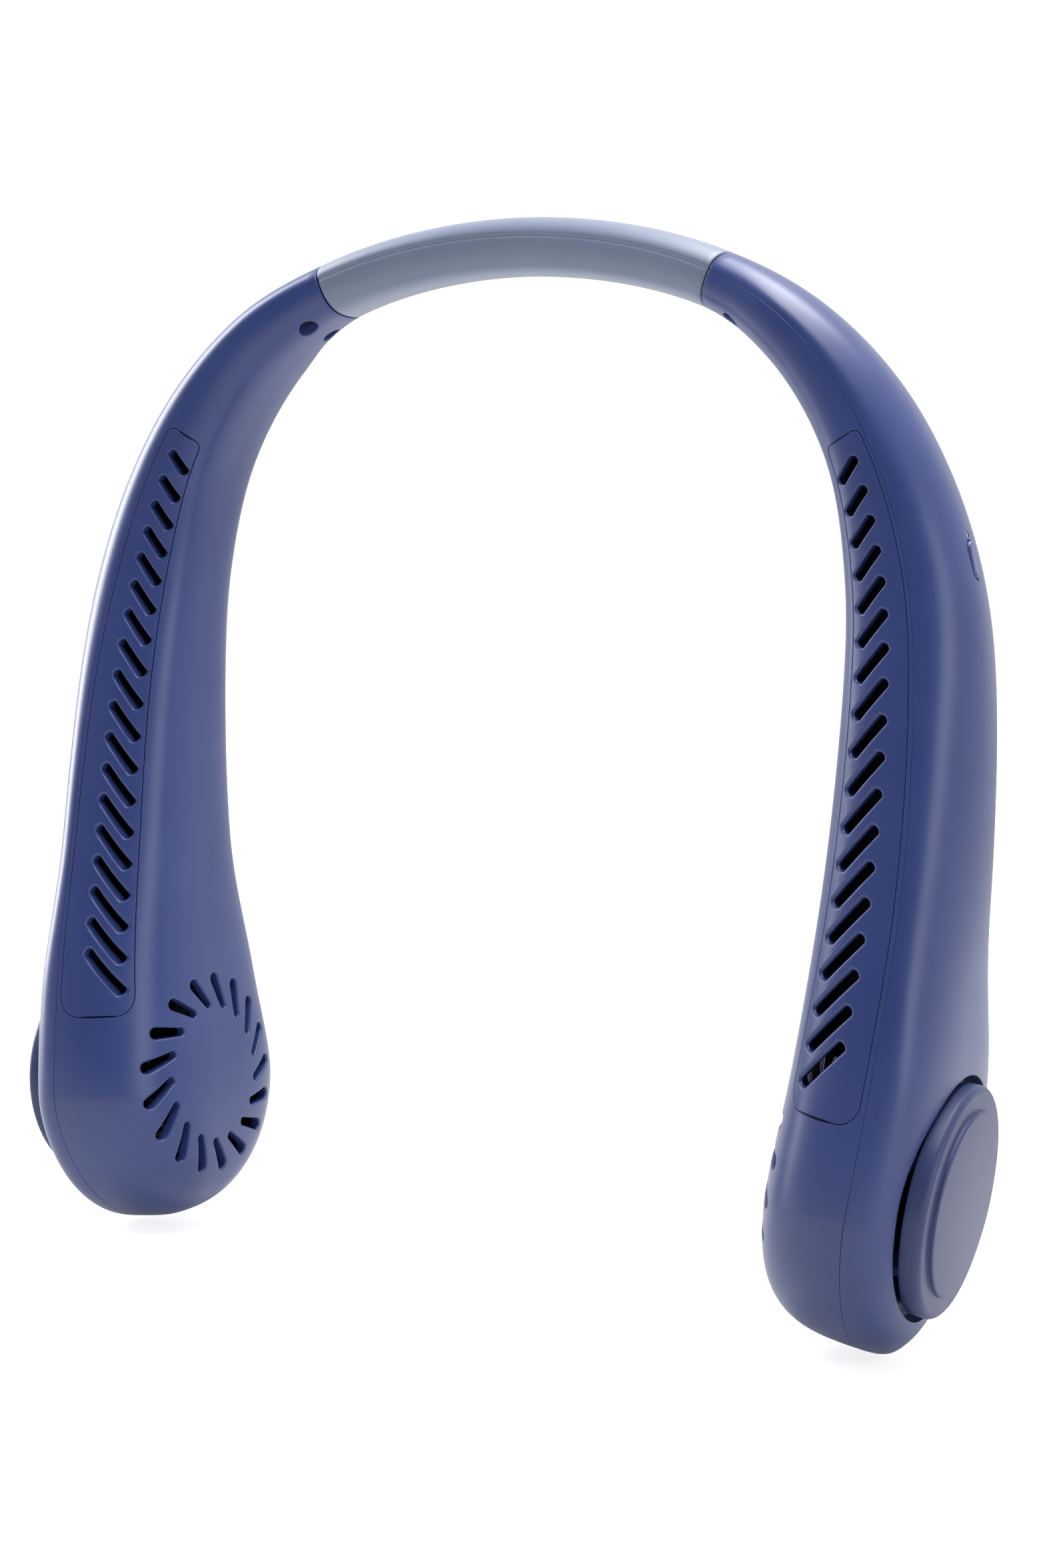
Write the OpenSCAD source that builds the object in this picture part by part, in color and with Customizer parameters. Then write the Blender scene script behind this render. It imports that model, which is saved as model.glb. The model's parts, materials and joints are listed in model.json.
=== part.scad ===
// Electric neck fan: two moulded arms on a bendable neck, with a centrifugal fan in each bulb.
// +X is the wearer's side with the power button, -Y is the side with the air slots, +Z is up.
// The origin is the seat on the neck: the underside of the bow at its crown.

/* [Bow] */
// Length of the shell seam from the crown of the bow to the foot of an arm
seam_len = 251; // [240:1:262]
// Length of the seam covered by one half of the soft neck sleeve
sleeve_half_len = 42; // [38:1:46]
// Distance along the seam from the fan's axis to the foot
fan_to_foot = 30; // [29:0.5:31]
// Length of seam over which the foot rounds off
foot_len = 29; // [28:0.5:31]

/* [Section of the arm] */
// Depth of the section on the neck side of the seam, at the crown
crown_in = 6.6; // [6.2:0.1:7.4]
// Depth of the section outside the seam, at the crown
crown_out = 4.2; // [4:0.1:5]
// Half width towards the front, at the crown
crown_front = 6.4; // [6.2:0.1:7.2]
// Half width towards the back, at the crown
crown_rear = 6.8; // [6.4:0.1:7.6]
// Depth of the section on the neck side of the seam, at the bulb
bulb_in = 20.9; // [20.4:0.1:22]
// Depth of the section outside the seam, at the bulb
bulb_out = 10; // [9.6:0.1:10.8]
// Half width towards the front, at the bulb
bulb_front = 27.4; // [26.8:0.2:29]
// Half width towards the back, at the bulb
bulb_rear = 28.8; // [28:0.2:30]
// Wall of the moulded shells
wall = 1.8; // [1.6:0.1:2]

/* [Neck] */
// Wall of the soft sleeve
sleeve_wall = 2.2; // [2:0.1:2.4]
// Gap between the sleeve and each arm
joint_gap = 0.3; // [0.3:0.05:0.5]
// Width of the spring steel strip
strip_w = 4.6; // [4:0.2:4.8]
// Thickness of the spring steel strip
strip_t = 0.9; // [0.7:0.1:1]
// Diameter of each wire across the neck
wire_d = 1; // [0.9:0.1:1.1]
// Length of the tenon that holds the sleeve's end
tenon_len = 8; // [6:0.5:10]
// Length of the plug inside the arm's mouth
plug_len = 14; // [13:0.5:16]
// Length of the saddle in the middle of the sleeve
saddle_len = 10; // [8:1:14]

/* [Screws at the mouth] */
// Distance from the mouth to the pair of screws
well_from_mouth = 7.2; // [6.8:0.2:8]
// Distance between the two screws
well_spacing = 8.6; // [8.4:0.1:9]
// Diameter of a screw well
well_d = 3.8; // [3.4:0.1:4]
// Diameter of a screw's head
screw_head_d = 3; // [2.6:0.1:3.2]
// Diameter of a screw's shank
screw_d = 1.7; // [1.5:0.1:1.8]

/* [Outlet grille] */
// Distance along the seam from the crown to the first slot
slot_first = 91; // [88:1:94]
// Distance along the seam from the first slot to the last
slot_run = 106.6; // [100:0.2:108]
// Number of slots on an arm
slot_count = 18; // [14:1:18]
// Width of a slot at its rounded ends
slot_end_d = 2.1; // [1.9:0.1:2.3]
// Width of a slot in its middle
slot_mid_w = 1.8; // [1.5:0.1:1.9]
// Thickness of the grille strip
grille_t = 2; // [1.8:0.1:2.2]
// Gap round the grille strip
grille_gap = 0.12; // [0.1:0.01:0.15]

/* [Inlet ring] */
// Number of inlet slots on the neck side of a bulb
ring_count = 17; // [13:2:19]
// Radius at the outer ends of the inlet slots
ring_out_r = 20.4; // [19.6:0.2:21]
// Radius at the inner ends of the inlet slots
ring_in_r = 13.3; // [13:0.1:14]
// Width of an inlet slot at its outer end
ring_out_w = 2.4; // [2:0.1:2.6]
// Width of an inlet slot at its inner end
ring_in_w = 1.6; // [1.4:0.1:1.8]

/* [Intake cap] */
// Radius of the cap's rim
cap_r = 21; // [20.4:0.1:21.2]
// Width of the rim round the raised disc on the cap
cap_rim_w = 4.2; // [3.6:0.1:5]
// Height of the cap's disc above the seam
cap_top = 12.7; // [12.4:0.1:13]
// Height of the step from the rim up to the disc
cap_step = 0.9; // [0.7:0.1:1.1]
// Thickness of the cap's rim
rim_t = 3.8; // [3.4:0.1:4]
// Height of the intake floor under the cap, above the seam
floor_top = 5.2; // [5:0.1:5.4]
// Gap between the cap's rim and the wall round it, at the intake floor
cap_gap = 1.2; // [1:0.1:1.6]
// Radius of the hole in the intake floor
eye_r = 13.6; // [13:0.1:14]
// Number of ribs under the cap
cap_ribs = 6; // [4:2:8]
// Width of a rib under the cap
cap_rib_w = 1.6; // [1.2:0.1:2]
// Diameter of the pegs that locate the cap
peg_d = 1.6; // [1.4:0.1:1.8]

/* [Fan and motor] */
// Radius of the impeller
impeller_r = 19.4; // [18.6:0.1:19.6]
// Radius at the inner ends of the blades
blade_in_r = 14.2; // [13.8:0.1:14.6]
// Height of the blades
blade_h = 15; // [13:0.5:15]
// Number of blades
blade_count = 24; // [18:2:26]
// Thickness of a blade
blade_t = 0.8; // [0.7:0.1:0.9]
// Radius of the motor's seat in the shell
seat_r = 11.5; // [11:0.1:12]
// Height of the motor's seat above the outer face of the shell
seat_h = 3.9; // [3.7:0.1:4.1]
// Thickness of the motor's base
base_t = 1.2; // [1:0.1:1.4]
// Radius of the rotor can
can_r = 9.8; // [9.4:0.1:10]
// Height of the rotor can
can_h = 7.4; // [7:0.1:8]
// Wall of the rotor can
can_t = 0.6; // [0.5:0.1:0.7]
// Thickness of the magnet ring
magnet_t = 1; // [0.8:0.1:1.2]
// Radius of the stator's poles
stator_r = 7.9; // [7.6:0.1:8]
// Number of poles on the stator
pole_count = 9; // [6:3:12]
// Diameter of the motor's shaft
shaft_d = 2; // [1.8:0.1:2.2]
// Running clearance of the shaft in its bush
shaft_gap = 0.03; // [0.02:0.01:0.05]
// Wall of the bush
bush_wall = 0.9; // [0.8:0.1:1]

/* [Battery] */
// Diameter of the battery cell
cell_d = 14; // [13:0.2:14.2]
// Length of the battery cell
cell_len = 48; // [44:1:50]

/* [Power button] */
// Distance along the seam from the crown to the button
button_s = 111.3; // [110:0.1:113]
// Length of the button
button_len = 6.8; // [6.4:0.2:7.2]
// Width of the button
button_w = 3.2; // [3:0.1:3.6]
// Gap round the button
button_gap = 0.25; // [0.2:0.05:0.3]
// Travel of the button
button_travel = 0.5; // [0.4:0.1:0.6]
// Height of the button above the shell
button_proud = 0.3; // [0.2:0.1:0.5]
// Diameter of the light guide
light_d = 1.3; // [1.2:0.1:1.5]

/* [Main board and charging port] */
// Length of the main board
board_len = 38; // [36:1:40]
// Width of the main board
board_w = 14; // [13:0.5:15]
// Thickness of the main board
board_t = 1.2; // [1:0.1:1.6]
// Width of the charging port
port_w = 8.9; // [8.6:0.1:9.2]
// Height of the charging port
port_h = 3.2; // [3:0.1:3.4]
// Depth of the charging port
port_depth = 7.3; // [6.8:0.1:7.6]

/* [Hidden] */

// How far a cut runs past the face it opens
over = 1;
// Clearance between pieces that are laid in by hand
fit_gap = 0.15;
// Smoothness of round pieces
round_fn = 48;
// Smoothness of small round pieces
small_fn = 24;

// Turning of the seam, in degrees from level: share of the seam's length, angle
turn_shares = [[0, 0], [0.15, 19], [0.29, 50.5], [0.41, 71], [0.52, 84], [0.67, 91], [0.8, 95],
    [0.89, 96.5], [1, 98]];
// Growth from the crown's size to the bulb's size: share of the seam's length, share of the growth
in_shares = [[0, 0], [0.16, 0], [0.24, 0.1], [0.34, 0.25], [0.44, 0.5], [0.56, 0.7], [0.68, 0.83],
    [0.8, 0.92], [0.9, 1], [1, 1]];
out_shares = [[0, 0], [0.16, 0], [0.24, 0.16], [0.34, 0.5], [0.5, 0.84], [0.62, 0.76], [0.72, 0.74],
    [0.82, 0.96], [0.9, 1], [1, 1]];
front_shares = [[0, 0], [0.16, 0.05], [0.24, 0.18], [0.34, 0.22], [0.44, 0.26], [0.56, 0.43], [0.68, 0.61],
    [0.8, 0.87], [0.9, 1], [1, 1]];
rear_shares = [[0, 0], [0.06, 0.03], [0.16, 0.08], [0.21, 0.16], [0.25, 0.29], [0.34, 0.36], [0.44, 0.39],
    [0.56, 0.47], [0.68, 0.57], [0.8, 0.87], [0.9, 1], [1, 1]];
// Squareness of the corners on the neck side: share of the seam's length, exponent of the oval
front_square_shares = [[0, 2.6], [0.16, 2.6], [0.3, 2.9], [0.5, 3], [0.68, 2.9], [0.85, 2.6], [1, 2.6]];
rear_square_shares = [[0, 2.6], [0.16, 2.6], [0.3, 2.7], [0.5, 2.8], [0.7, 3], [0.82, 3.6], [0.88, 4],
    [1, 4]];
// Bluntness of the foot across the arm and through its depth, as exponents
foot_width_blunt = 1.75;
foot_depth_blunt = 3.2;

foot_s = seam_len - foot_len;
fan_s = seam_len - fan_to_foot;
mouth_s = sleeve_half_len + joint_gap;
path_steps = 120;
path_step = seam_len / path_steps;

// Curves through tables of shares

function secant(table, i) = (table[i + 1][1] - table[i][1]) / (table[i + 1][0] - table[i][0]);
function slope(table, i) =
    i == 0 ? secant(table, 0) :
    i == len(table) - 1 ? secant(table, i - 1) :
    let (before = secant(table, i - 1), after = secant(table, i))
    before * after <= 0 ? 0 : 2 * before * after / (before + after);
function place_in(table, x) = max([for (k = [0 : len(table) - 2]) if (x >= table[k][0] || k == 0) k]);
function curve(table, x) =
    let (
        i = place_in(table, x),
        span = table[i + 1][0] - table[i][0],
        t = (x - table[i][0]) / span,
        u = 1 - t
    )
    u * u * (1 + 2 * t) * table[i][1] + t * t * (3 - 2 * t) * table[i + 1][1]
    + t * u * span * (u * slope(table, i) - t * slope(table, i + 1));

// The seam's path in the XZ plane

function heading(s) = sign(s) * curve(turn_shares, min(1, abs(s) / seam_len));
path = [
    for (i = 0, x = 0, z = crown_in; i <= path_steps;
        x = x + path_step * cos(heading((i + 0.5) * path_step)),
        z = z - path_step * sin(heading((i + 0.5) * path_step)),
        i = i + 1)
    [x, z]
];
function seam_point(s) =
    let (
        k = min(path_steps - 1, floor(abs(s) / path_step)),
        t = abs(s) / path_step - k,
        p = path[k] + t * (path[k + 1] - path[k])
    )
    [sign(s) * p[0], p[1]];

// A point at seam length s, u outwards from the seam and v towards the back
function at(s, u, v) =
    let (p = seam_point(s), h = heading(s))
    [p[0] + u * sin(h), v, p[1] + u * cos(h)];

// Half sizes of the section at seam length s, drawn in by cut: in, out, front, rear

function grown(shares, s, low, high) = low + (high - low) * curve(shares, min(1, abs(s) / seam_len));
function foot_place(s, cut) = min(1, max(0, (abs(s) - foot_s) / (foot_len - cut)));
function foot_share(s, cut, blunt) = pow(1 - pow(foot_place(s, cut), blunt), 1 / blunt);
function size_in(s, cut) =
    (grown(in_shares, s, crown_in, bulb_in) - cut) * foot_share(s, cut, foot_depth_blunt);
function size_out(s, cut) =
    (grown(out_shares, s, crown_out, bulb_out) - cut) * foot_share(s, cut, foot_depth_blunt);
function size_front(s, cut) =
    (grown(front_shares, s, crown_front, bulb_front) - cut) * foot_share(s, cut, foot_width_blunt);
function size_rear(s, cut) =
    (grown(rear_shares, s, crown_rear, bulb_rear) - cut) * foot_share(s, cut, foot_width_blunt);
function square_at(s, angle) =
    curve(angle < 90 ? front_square_shares : rear_square_shares, min(1, abs(s) / seam_len));

// Width of the neck-side curve at a share of its depth, as a share of its half width
function inner_width_share(s, depth_share) =
    let (p = curve(front_square_shares, min(1, abs(s) / seam_len)))
    pow(1 - pow(depth_share, p), 1 / p);

// Section curves from the front seam to the back seam, as [u, v] points

function width_at(s, cut, angle) = angle < 90 ? -size_front(s, cut) : size_rear(s, cut);
function inner_point(s, cut, angle) =
    let (p = square_at(s, angle))
    [-size_in(s, cut) * pow(sin(angle), 2 / p), width_at(s, cut, angle) * pow(abs(cos(angle)), 2 / p)];
function inner_curve(s, cut, parts) = [for (i = [0 : parts]) inner_point(s, cut, 180 * i / parts)];
function outer_curve(s, cut, parts) = [
    for (i = [0 : parts])
    let (angle = 180 * i / parts)
    [size_out(s, cut) * sin(angle), width_at(s, cut, angle) * abs(cos(angle))]
];
function reversed(list) = [for (i = [len(list) - 1 : -1 : 0]) list[i]];
// The inner curve's end points stand off the seam by lip, so that a cavity opens through it
function lip_point(lip, v) = lip == 0 ? [] : [[lip, v]];
function inner_ring(s, cut, parts, lip = 0) = concat(
    lip_point(lip, -size_front(s, cut)), inner_curve(s, cut, parts), lip_point(lip, size_rear(s, cut)));
function outer_ring(s, cut, parts, lip = 0) = reversed(concat(
    lip_point(-lip, -size_front(s, cut)), outer_curve(s, cut, parts), lip_point(-lip, size_rear(s, cut))));
function full_ring(s, cut, parts) = concat(
    inner_curve(s, cut, parts),
    [for (i = [parts - 1 : -1 : 1]) outer_curve(s, cut, parts)[i]]);

function spread(from, to, parts) = [for (i = [0 : parts]) from + (to - from) * i / parts];
// Seam lengths from a start to the foot, closer together where the foot rounds off
foot_steps = [0.3, 0.55, 0.75, 0.9, 0.97, 0.997];
function to_foot(from, parts, cut) = concat(
    spread(from, foot_s, parts), [for (k = foot_steps) foot_s + (foot_len - cut) * k]);

// A closed solid through rings of [u, v] points, one ring for each seam length
module loft(stations, rings) {
    n = len(rings[0]);
    last = len(rings) - 1;
    points = [for (k = [0 : last]) for (p = rings[k]) at(stations[k], p[0], p[1])];
    sides = [
        for (k = [0 : last - 1]) for (i = [0 : n - 1])
        let (a = k * n + i, b = k * n + (i + 1) % n)
        each [[a, b + n, b], [a, a + n, b + n]]
    ];
    polyhedron(
        points = points,
        faces = concat(sides, [[for (i = [0 : n - 1]) i]], [[for (i = [n - 1 : -1 : 0]) last * n + i]])
    );
}

module left_side() { mirror([1, 0, 0]) children(); }
// Local frame at seam length s: +X outwards from the seam, +Y back, +Z up the arm
module station(s) {
    p = seam_point(s);
    translate([p[0], 0, p[1]]) rotate([0, heading(s) - 90, 0]) children();
}
// Turns a piece drawn along +Z so that it runs outwards along +X, from the height given
module outwards(from = 0) { translate([from, 0, 0]) rotate([0, 90, 0]) children(); }
module fan_axis(from = 0) { station(fan_s) outwards(from) children(); }
// A pill outline drawn out along +X, long in Z
module pill(length, width, height, from) {
    straight = length - width;
    outwards(from) {
        for (end = [-1, 1]) translate([end * straight / 2, 0, 0])
            cylinder(d = width, h = height, $fn = small_fn);
        translate([-straight / 2, -width / 2, 0]) cube([straight, width, height]);
    }
}

// Moulded half shells

inner_parts = 16;
outer_parts = 12;
grille_end = 6;
grille_from = slot_first - grille_end;
grille_to = slot_first + slot_run + 1.5 * grille_end;
grille_stations = spread(grille_from, grille_to, 11);
function but_first(list) = [for (i = [1 : len(list) - 1]) list[i]];
// Stations along an arm: closer at the mouth, and the same as the grille's where that lies
function arm_stations(from, cut) = concat(
    [from], but_first(spread(mouth_s, mouth_s + plug_len, 2)), but_first(spread(mouth_s + plug_len,
        grille_from, 3)),
    but_first(grille_stations), but_first(to_foot(grille_to, 2, cut)));
module inner_half(cut, lip = 0, from = mouth_s) {
    stations = arm_stations(from, cut);
    loft(stations, [for (s = stations) inner_ring(s, cut, inner_parts, lip)]);
}
module outer_half(cut, lip = 0, from = mouth_s) {
    stations = arm_stations(from, cut);
    loft(stations, [for (s = stations) outer_ring(s, cut, outer_parts, lip)]);
}

// Outlet slots: seam length, depth and slant of each, from the top down

slot_run_shares = [[0, 0], [0.3, 0.285], [0.65, 0.648], [1, 1]];
slot_outer_share = 0.34;
slot_inner_share = 0.67;
slot_inset_share = 0.22;
slant_shares = [[0, 30], [0.3, 43], [0.6, 48], [1, 50]];
function slot_place(k) = k / (slot_count - 1);
function slot_s(k) = slot_first + slot_run * curve(slot_run_shares, slot_place(k));
function slot_u(k, share) = -share * size_in(slot_s(k), 0);
function slot_drop(k) =
    (slot_u(k, slot_outer_share) - slot_u(k, slot_inner_share)) * tan(curve(slant_shares, slot_place(k)));
module slot_cut(k) {
    s = slot_s(k);
    u_out = slot_u(k, slot_outer_share);
    u_in = slot_u(k, slot_inner_share);
    drop = slot_drop(k);
    run = sqrt(pow(u_out - u_in, 2) + drop * drop);
    front = size_front(s, 0) + over;
    reach = front * (1 - inner_width_share(s, slot_inner_share)) + grille_t + 2 * over;
    inset = slot_end_d * slot_inset_share;
    station(s) translate([u_out, -front, drop / 2]) rotate([-90, 0, 0]) rotate([0, 0, atan2(drop,
        u_in - u_out)]) {
        for (x = [inset, run - inset]) translate([x, 0, 0])
            cylinder(d = slot_end_d, h = reach, $fn = small_fn);
        translate([inset, -slot_mid_w / 2, 0]) cube([run - 2 * inset, slot_mid_w, reach]);
    }
}

// The grille strip follows the front of the neck-side curve between two shares of its depth

grille_edge_share = 0.05;
grille_inner_share = 0.765;
grille_across = 5;
function strip_curve(s, cut, from_share, to_share) = [
    for (k = spread(from_share, to_share, grille_across))
    [-size_in(s, 0) * k, -size_front(s, cut) * inner_width_share(s, k)]
];
function strip_ring(s, outer_cut, inner_cut, inset) =
    let (
        near = grille_edge_share + inset / size_in(s, 0),
        far = grille_inner_share - inset / size_in(s, 0)
    )
    concat(reversed(strip_curve(s, inner_cut, near, far)), strip_curve(s, outer_cut, near, far));
module front_strip(outer_cut, inner_cut, inset) {
    last = len(grille_stations) - 1;
    stations = concat(
        [grille_from + inset], [for (i = [1 : last - 1]) grille_stations[i]], [grille_to - inset]);
    loft(stations, [for (s = stations) strip_ring(s, outer_cut, inner_cut, inset)]);
}
module outlet_grille() {
    color("#3b4c8c") difference() {
        front_strip(0, grille_t, grille_gap);
        for (k = [0 : slot_count - 1]) slot_cut(k);
    }
}

// Inlet ring on the neck side of the bulb

ring_swirl = 11.6;
ring_phase = 106;
ring_reach = 3 * wall;
ring_turn = 36;
function rounded_end(centre, radius, angle) = [
    for (a = [-90 : ring_turn : 90]) centre + radius * [cos(angle + a), sin(angle + a)]
];
module inlet_ring_cuts() {
    far = [ring_out_r - ring_out_w / 2, 0];
    near = (ring_in_r + ring_in_w / 2) * [cos(ring_swirl), -sin(ring_swirl)];
    lean = atan2(far[1] - near[1], far[0] - near[0]);
    outline = concat(rounded_end(far, ring_out_w / 2, lean), rounded_end(near, ring_in_w / 2, lean + 180));
    fan_axis(-bulb_in - ring_reach / 2) rotate([0, 0, 90]) linear_extrude(ring_reach)
        for (k = [0 : ring_count - 1]) rotate(ring_phase + 360 * k / ring_count) polygon(outline);
}

// Screws at the mouth: wells in a ledge on the neck side, bosses in the outer shell

well_s = mouth_s + well_from_mouth;
well_floor = 1.2;
ledge_half = 3.4;
ledge_u = -3.2;
ledge_parts = 4;
well_top = ledge_u - well_floor;
boss_u = 0.7;
boss_wall = 1.1;
boss_top = size_out(well_s, 0) - wall / 2;
screw_head_h = 0.8;
thread_gap = 0.02;
module at_wells() {
    station(well_s) for (side = [-1, 1]) translate([0, side * well_spacing / 2, 0]) children();
}
// Angle on the neck-side curve where it comes up to the depth given
function depth_angle(s, cut, angle, depth) = asin(pow(depth / size_in(s, cut), square_at(s, angle) / 2));
function ledge_ring(s, cut) =
    let (front = depth_angle(s, cut, 0, -ledge_u), rear = depth_angle(s, cut, 180, -ledge_u))
    [for (angle = concat(spread(front, 90, ledge_parts), but_first(spread(90, 180 - rear, ledge_parts))))
        inner_point(s, cut, angle)];
module well_ledge() {
    stations = spread(well_s - ledge_half, well_s + ledge_half, 2);
    loft(stations, [for (s = stations) ledge_ring(s, wall / 2)]);
}
module ledge_notch() {
    wide = crown_rear * 2;
    band(well_s - ledge_half - fit_gap, well_s + ledge_half + fit_gap, 2,
        ledge_u + fit_gap - bulb_in / 2, 2 * wide,
        bulb_in);
}
module well_cut() {
    outwards(-size_in(well_s, 0) - over) cylinder(d = well_d, h = well_top + size_in(well_s, 0) + over,
        $fn = small_fn);
    outwards(well_top - over) cylinder(d = screw_d + 2 * fit_gap, h = well_floor + 2 * over, $fn = small_fn);
}
module boss_post() {
    outwards(boss_u) cylinder(d = screw_d + 2 * boss_wall, h = boss_top - boss_u, $fn = small_fn);
}
module boss_cut() {
    outwards(boss_u - over) cylinder(d = screw_d + 2 * thread_gap, h = boss_top - boss_u + over - wall / 2,
        $fn = small_fn);
}

// Cradle ribs that carry the battery cell, in the rear half of the neck-side shell

cell_s = 160;
cell_v = 7.6;
cell_u = -5;
cradle_gap = 0.1;
cradle_t = 1.6;
cradle_reach_share = 0.32;
cradle_v = 4.4;
cradle_parts = 7;
module cell_body(gap) {
    translate([cell_u, cell_v, -cell_len / 2 - gap]) cylinder(d = cell_d + 2 * gap, h = cell_len + 2 * gap,
        $fn = round_fn);
}
function cradle_ring(s) =
    let (
        cut = wall / 2,
        p = square_at(s, 180),
        start = acos(-pow(cradle_v / size_rear(s, cut), p / 2)),
        stop = 180 - depth_angle(s, cut, 180, -cell_u)
    )
    concat([for (angle = spread(start, stop, cradle_parts)) inner_point(s, cut, angle)], [[cell_u,
        cradle_v]]);
module cradle_ribs() {
    difference() {
        for (side = [-1, 1]) {
            s = cell_s + side * cell_len * cradle_reach_share;
            loft([s - cradle_t / 2, s + cradle_t / 2], [for (e = [-1,
                1]) cradle_ring(s + e * cradle_t / 2)]);
        }
        station(cell_s) cell_body(cradle_gap);
    }
}

// Hollow neck-side half with a window for the grille strip
module windowed_half() {
    difference() {
        difference() {
            inner_half(0);
            inner_half(wall, over, mouth_s - over);
        }
        front_strip(-over, wall + 3 * over, 0);
    }
}
module inner_shell() {
    color("#44548f") difference() {
        union() {
            windowed_half();
            fan_axis(-bulb_in + wall / 2) cylinder(r = seat_r, h = seat_h - wall / 2, $fn = round_fn);
            well_ledge();
            cradle_ribs();
        }
        inlet_ring_cuts();
        at_wells() well_cut();
    }
}

// Outer shell with the intake floor under the cap

cup_wall = 1.8;
floor_r = cap_r + cap_gap;
valley_w = 3.2;
valley_r = floor_r + valley_w;
valley_top = 10.4;
peg_count = cap_ribs / 2;
peg_depth = 1.4;
peg_r = (eye_r + floor_r) / 2;
module intake_cup() {
    intersection() {
        outer_half(0);
        fan_axis(floor_top - wall) cylinder(r = floor_r + cup_wall, h = bulb_out, $fn = round_fn);
    }
}
module intake_cut() {
    fan_axis(floor_top) cylinder(r = floor_r, h = bulb_out, $fn = round_fn);
    fan_axis(floor_top + wall / 2)
        cylinder(r1 = floor_r, r2 = valley_r, h = valley_top - floor_top, $fn = round_fn);
    fan_axis() cylinder(r = eye_r, h = bulb_out, $fn = round_fn);
    fan_axis(floor_top - peg_depth) for (k = [0 : peg_count - 1]) rotate([0, 0, 360 * k / peg_count])
        translate([peg_r, 0, 0]) cylinder(d = peg_d + 2 * thread_gap, h = peg_depth + over, $fn = small_fn);
}
module plain_outer_shell() {
    difference() {
        union() {
            difference() {
                outer_half(0);
                outer_half(wall, over, mouth_s - over);
            }
            intake_cup();
            at_wells() boss_post();
        }
        intake_cut();
        at_wells() boss_cut();
    }
}
module outer_shell_with_button() {
    difference() {
        union() {
            plain_outer_shell();
            board_posts();
        }
        button_hole();
        light_hole();
        port_hole();
    }
}

// Intake cap over the outer side of the bulb

cap_wall = 1.8;
cap_disc_r = cap_r - cap_rim_w;
rim_round = 1.3;
disc_round = 0.4;
cap_skirt = cap_top - cap_step - rim_t;
module intake_cap() {
    rim_top = cap_top - cap_step;
    color("#55639c") fan_axis() {
        rotate_extrude($fn = round_fn) polygon([
            [0, cap_top], [cap_disc_r - disc_round, cap_top], [cap_disc_r, cap_top - disc_round],
            [cap_disc_r, rim_top], [cap_r - rim_round, rim_top], [cap_r - rim_round * 0.3,
                rim_top - rim_round * 0.3],
            [cap_r, rim_top - rim_round], [cap_r, cap_skirt], [cap_r - cap_wall, cap_skirt],
            [cap_r - cap_wall, rim_top - cap_wall], [cap_disc_r - cap_wall, rim_top - cap_wall],
            [cap_disc_r - 2 * cap_wall, cap_top - cap_wall], [0, cap_top - cap_wall]
        ]);
        for (k = [0 : cap_ribs - 1]) rotate([0, 0, 360 * k / cap_ribs])
            translate([eye_r + cap_rib_w / 2, -cap_rib_w / 2, floor_top])
                cube([cap_r - cap_wall / 2 - eye_r - cap_rib_w / 2, cap_rib_w,
                    rim_top - cap_wall / 2 - floor_top]);
        for (k = [0 : peg_count - 1]) rotate([0, 0, 360 * k / peg_count])
            translate([peg_r, 0, floor_top - peg_depth + fit_gap])
                cylinder(d = peg_d, h = peg_depth, $fn = small_fn);
    }
}

// Bendable neck: soft sleeve, spring strip, wires and their saddle

sleeve_parts = 12;
full_parts = 10;
channel_gap = 0.15;
strip_u = -0.2;
wire_u = -2.4;
wire_pitch = 1.15;
wire_count = 4;
wire_sides = 6;
module full_solid(from, to, parts, cut) {
    stations = spread(from, to, parts);
    loft(stations, [for (s = stations) full_ring(s, cut, full_parts)]);
}
module neck_sleeve() {
    color("#5c6a84") difference() {
        full_solid(-sleeve_half_len, sleeve_half_len, 2 * sleeve_parts, 0);
        full_solid(-sleeve_half_len - over, sleeve_half_len + over, sleeve_parts, sleeve_wall);
    }
}
// A band of rectangular section along the seam, centred at depth u
module band(from, to, parts, u, width, thick) {
    stations = spread(from, to, parts);
    loft(stations, [
        for (s = stations)
        [[u - thick / 2, -width / 2], [u - thick / 2, width / 2], [u + thick / 2, width / 2],
            [u + thick / 2, -width / 2]]
    ]);
}
strip_end = mouth_s + plug_len - 3;
strip_parts = 22;
module spring_strip() {
    color("#b9bcc2") band(-strip_end, strip_end, strip_parts, strip_u, strip_w, strip_t);
}
function wire_ring(u, v) = [
    for (i = [0 : wire_sides - 1])
    let (angle = 360 * i / wire_sides)
    [u - wire_d / 2 * cos(angle), v + wire_d / 2 * sin(angle)]
];
wire_end = mouth_s + plug_len + 1;
function wire_v(k) = (k - (wire_count - 1) / 2) * wire_pitch;
wire_parts = 18;
module neck_harness() {
    stations = spread(-wire_end, wire_end, wire_parts);
    color("#8c2f2f") for (k = [0 : wire_count - 1])
        loft(stations, [for (s = stations) wire_ring(wire_u, wire_v(k))]);
}
module neck_channels(from, to, parts) {
    band(from, to, parts, strip_u, strip_w + 2 * channel_gap, strip_t + 2 * channel_gap);
    band(from, to, parts, wire_u, wire_pitch * wire_count + 2 * channel_gap, wire_d + 2 * channel_gap);
}
module strip_saddle() {
    half = saddle_len / 2;
    color("#30343c") difference() {
        full_solid(-half, half, 2, sleeve_wall + joint_gap);
        neck_channels(-half - over, half + over, 2);
    }
}
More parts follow.
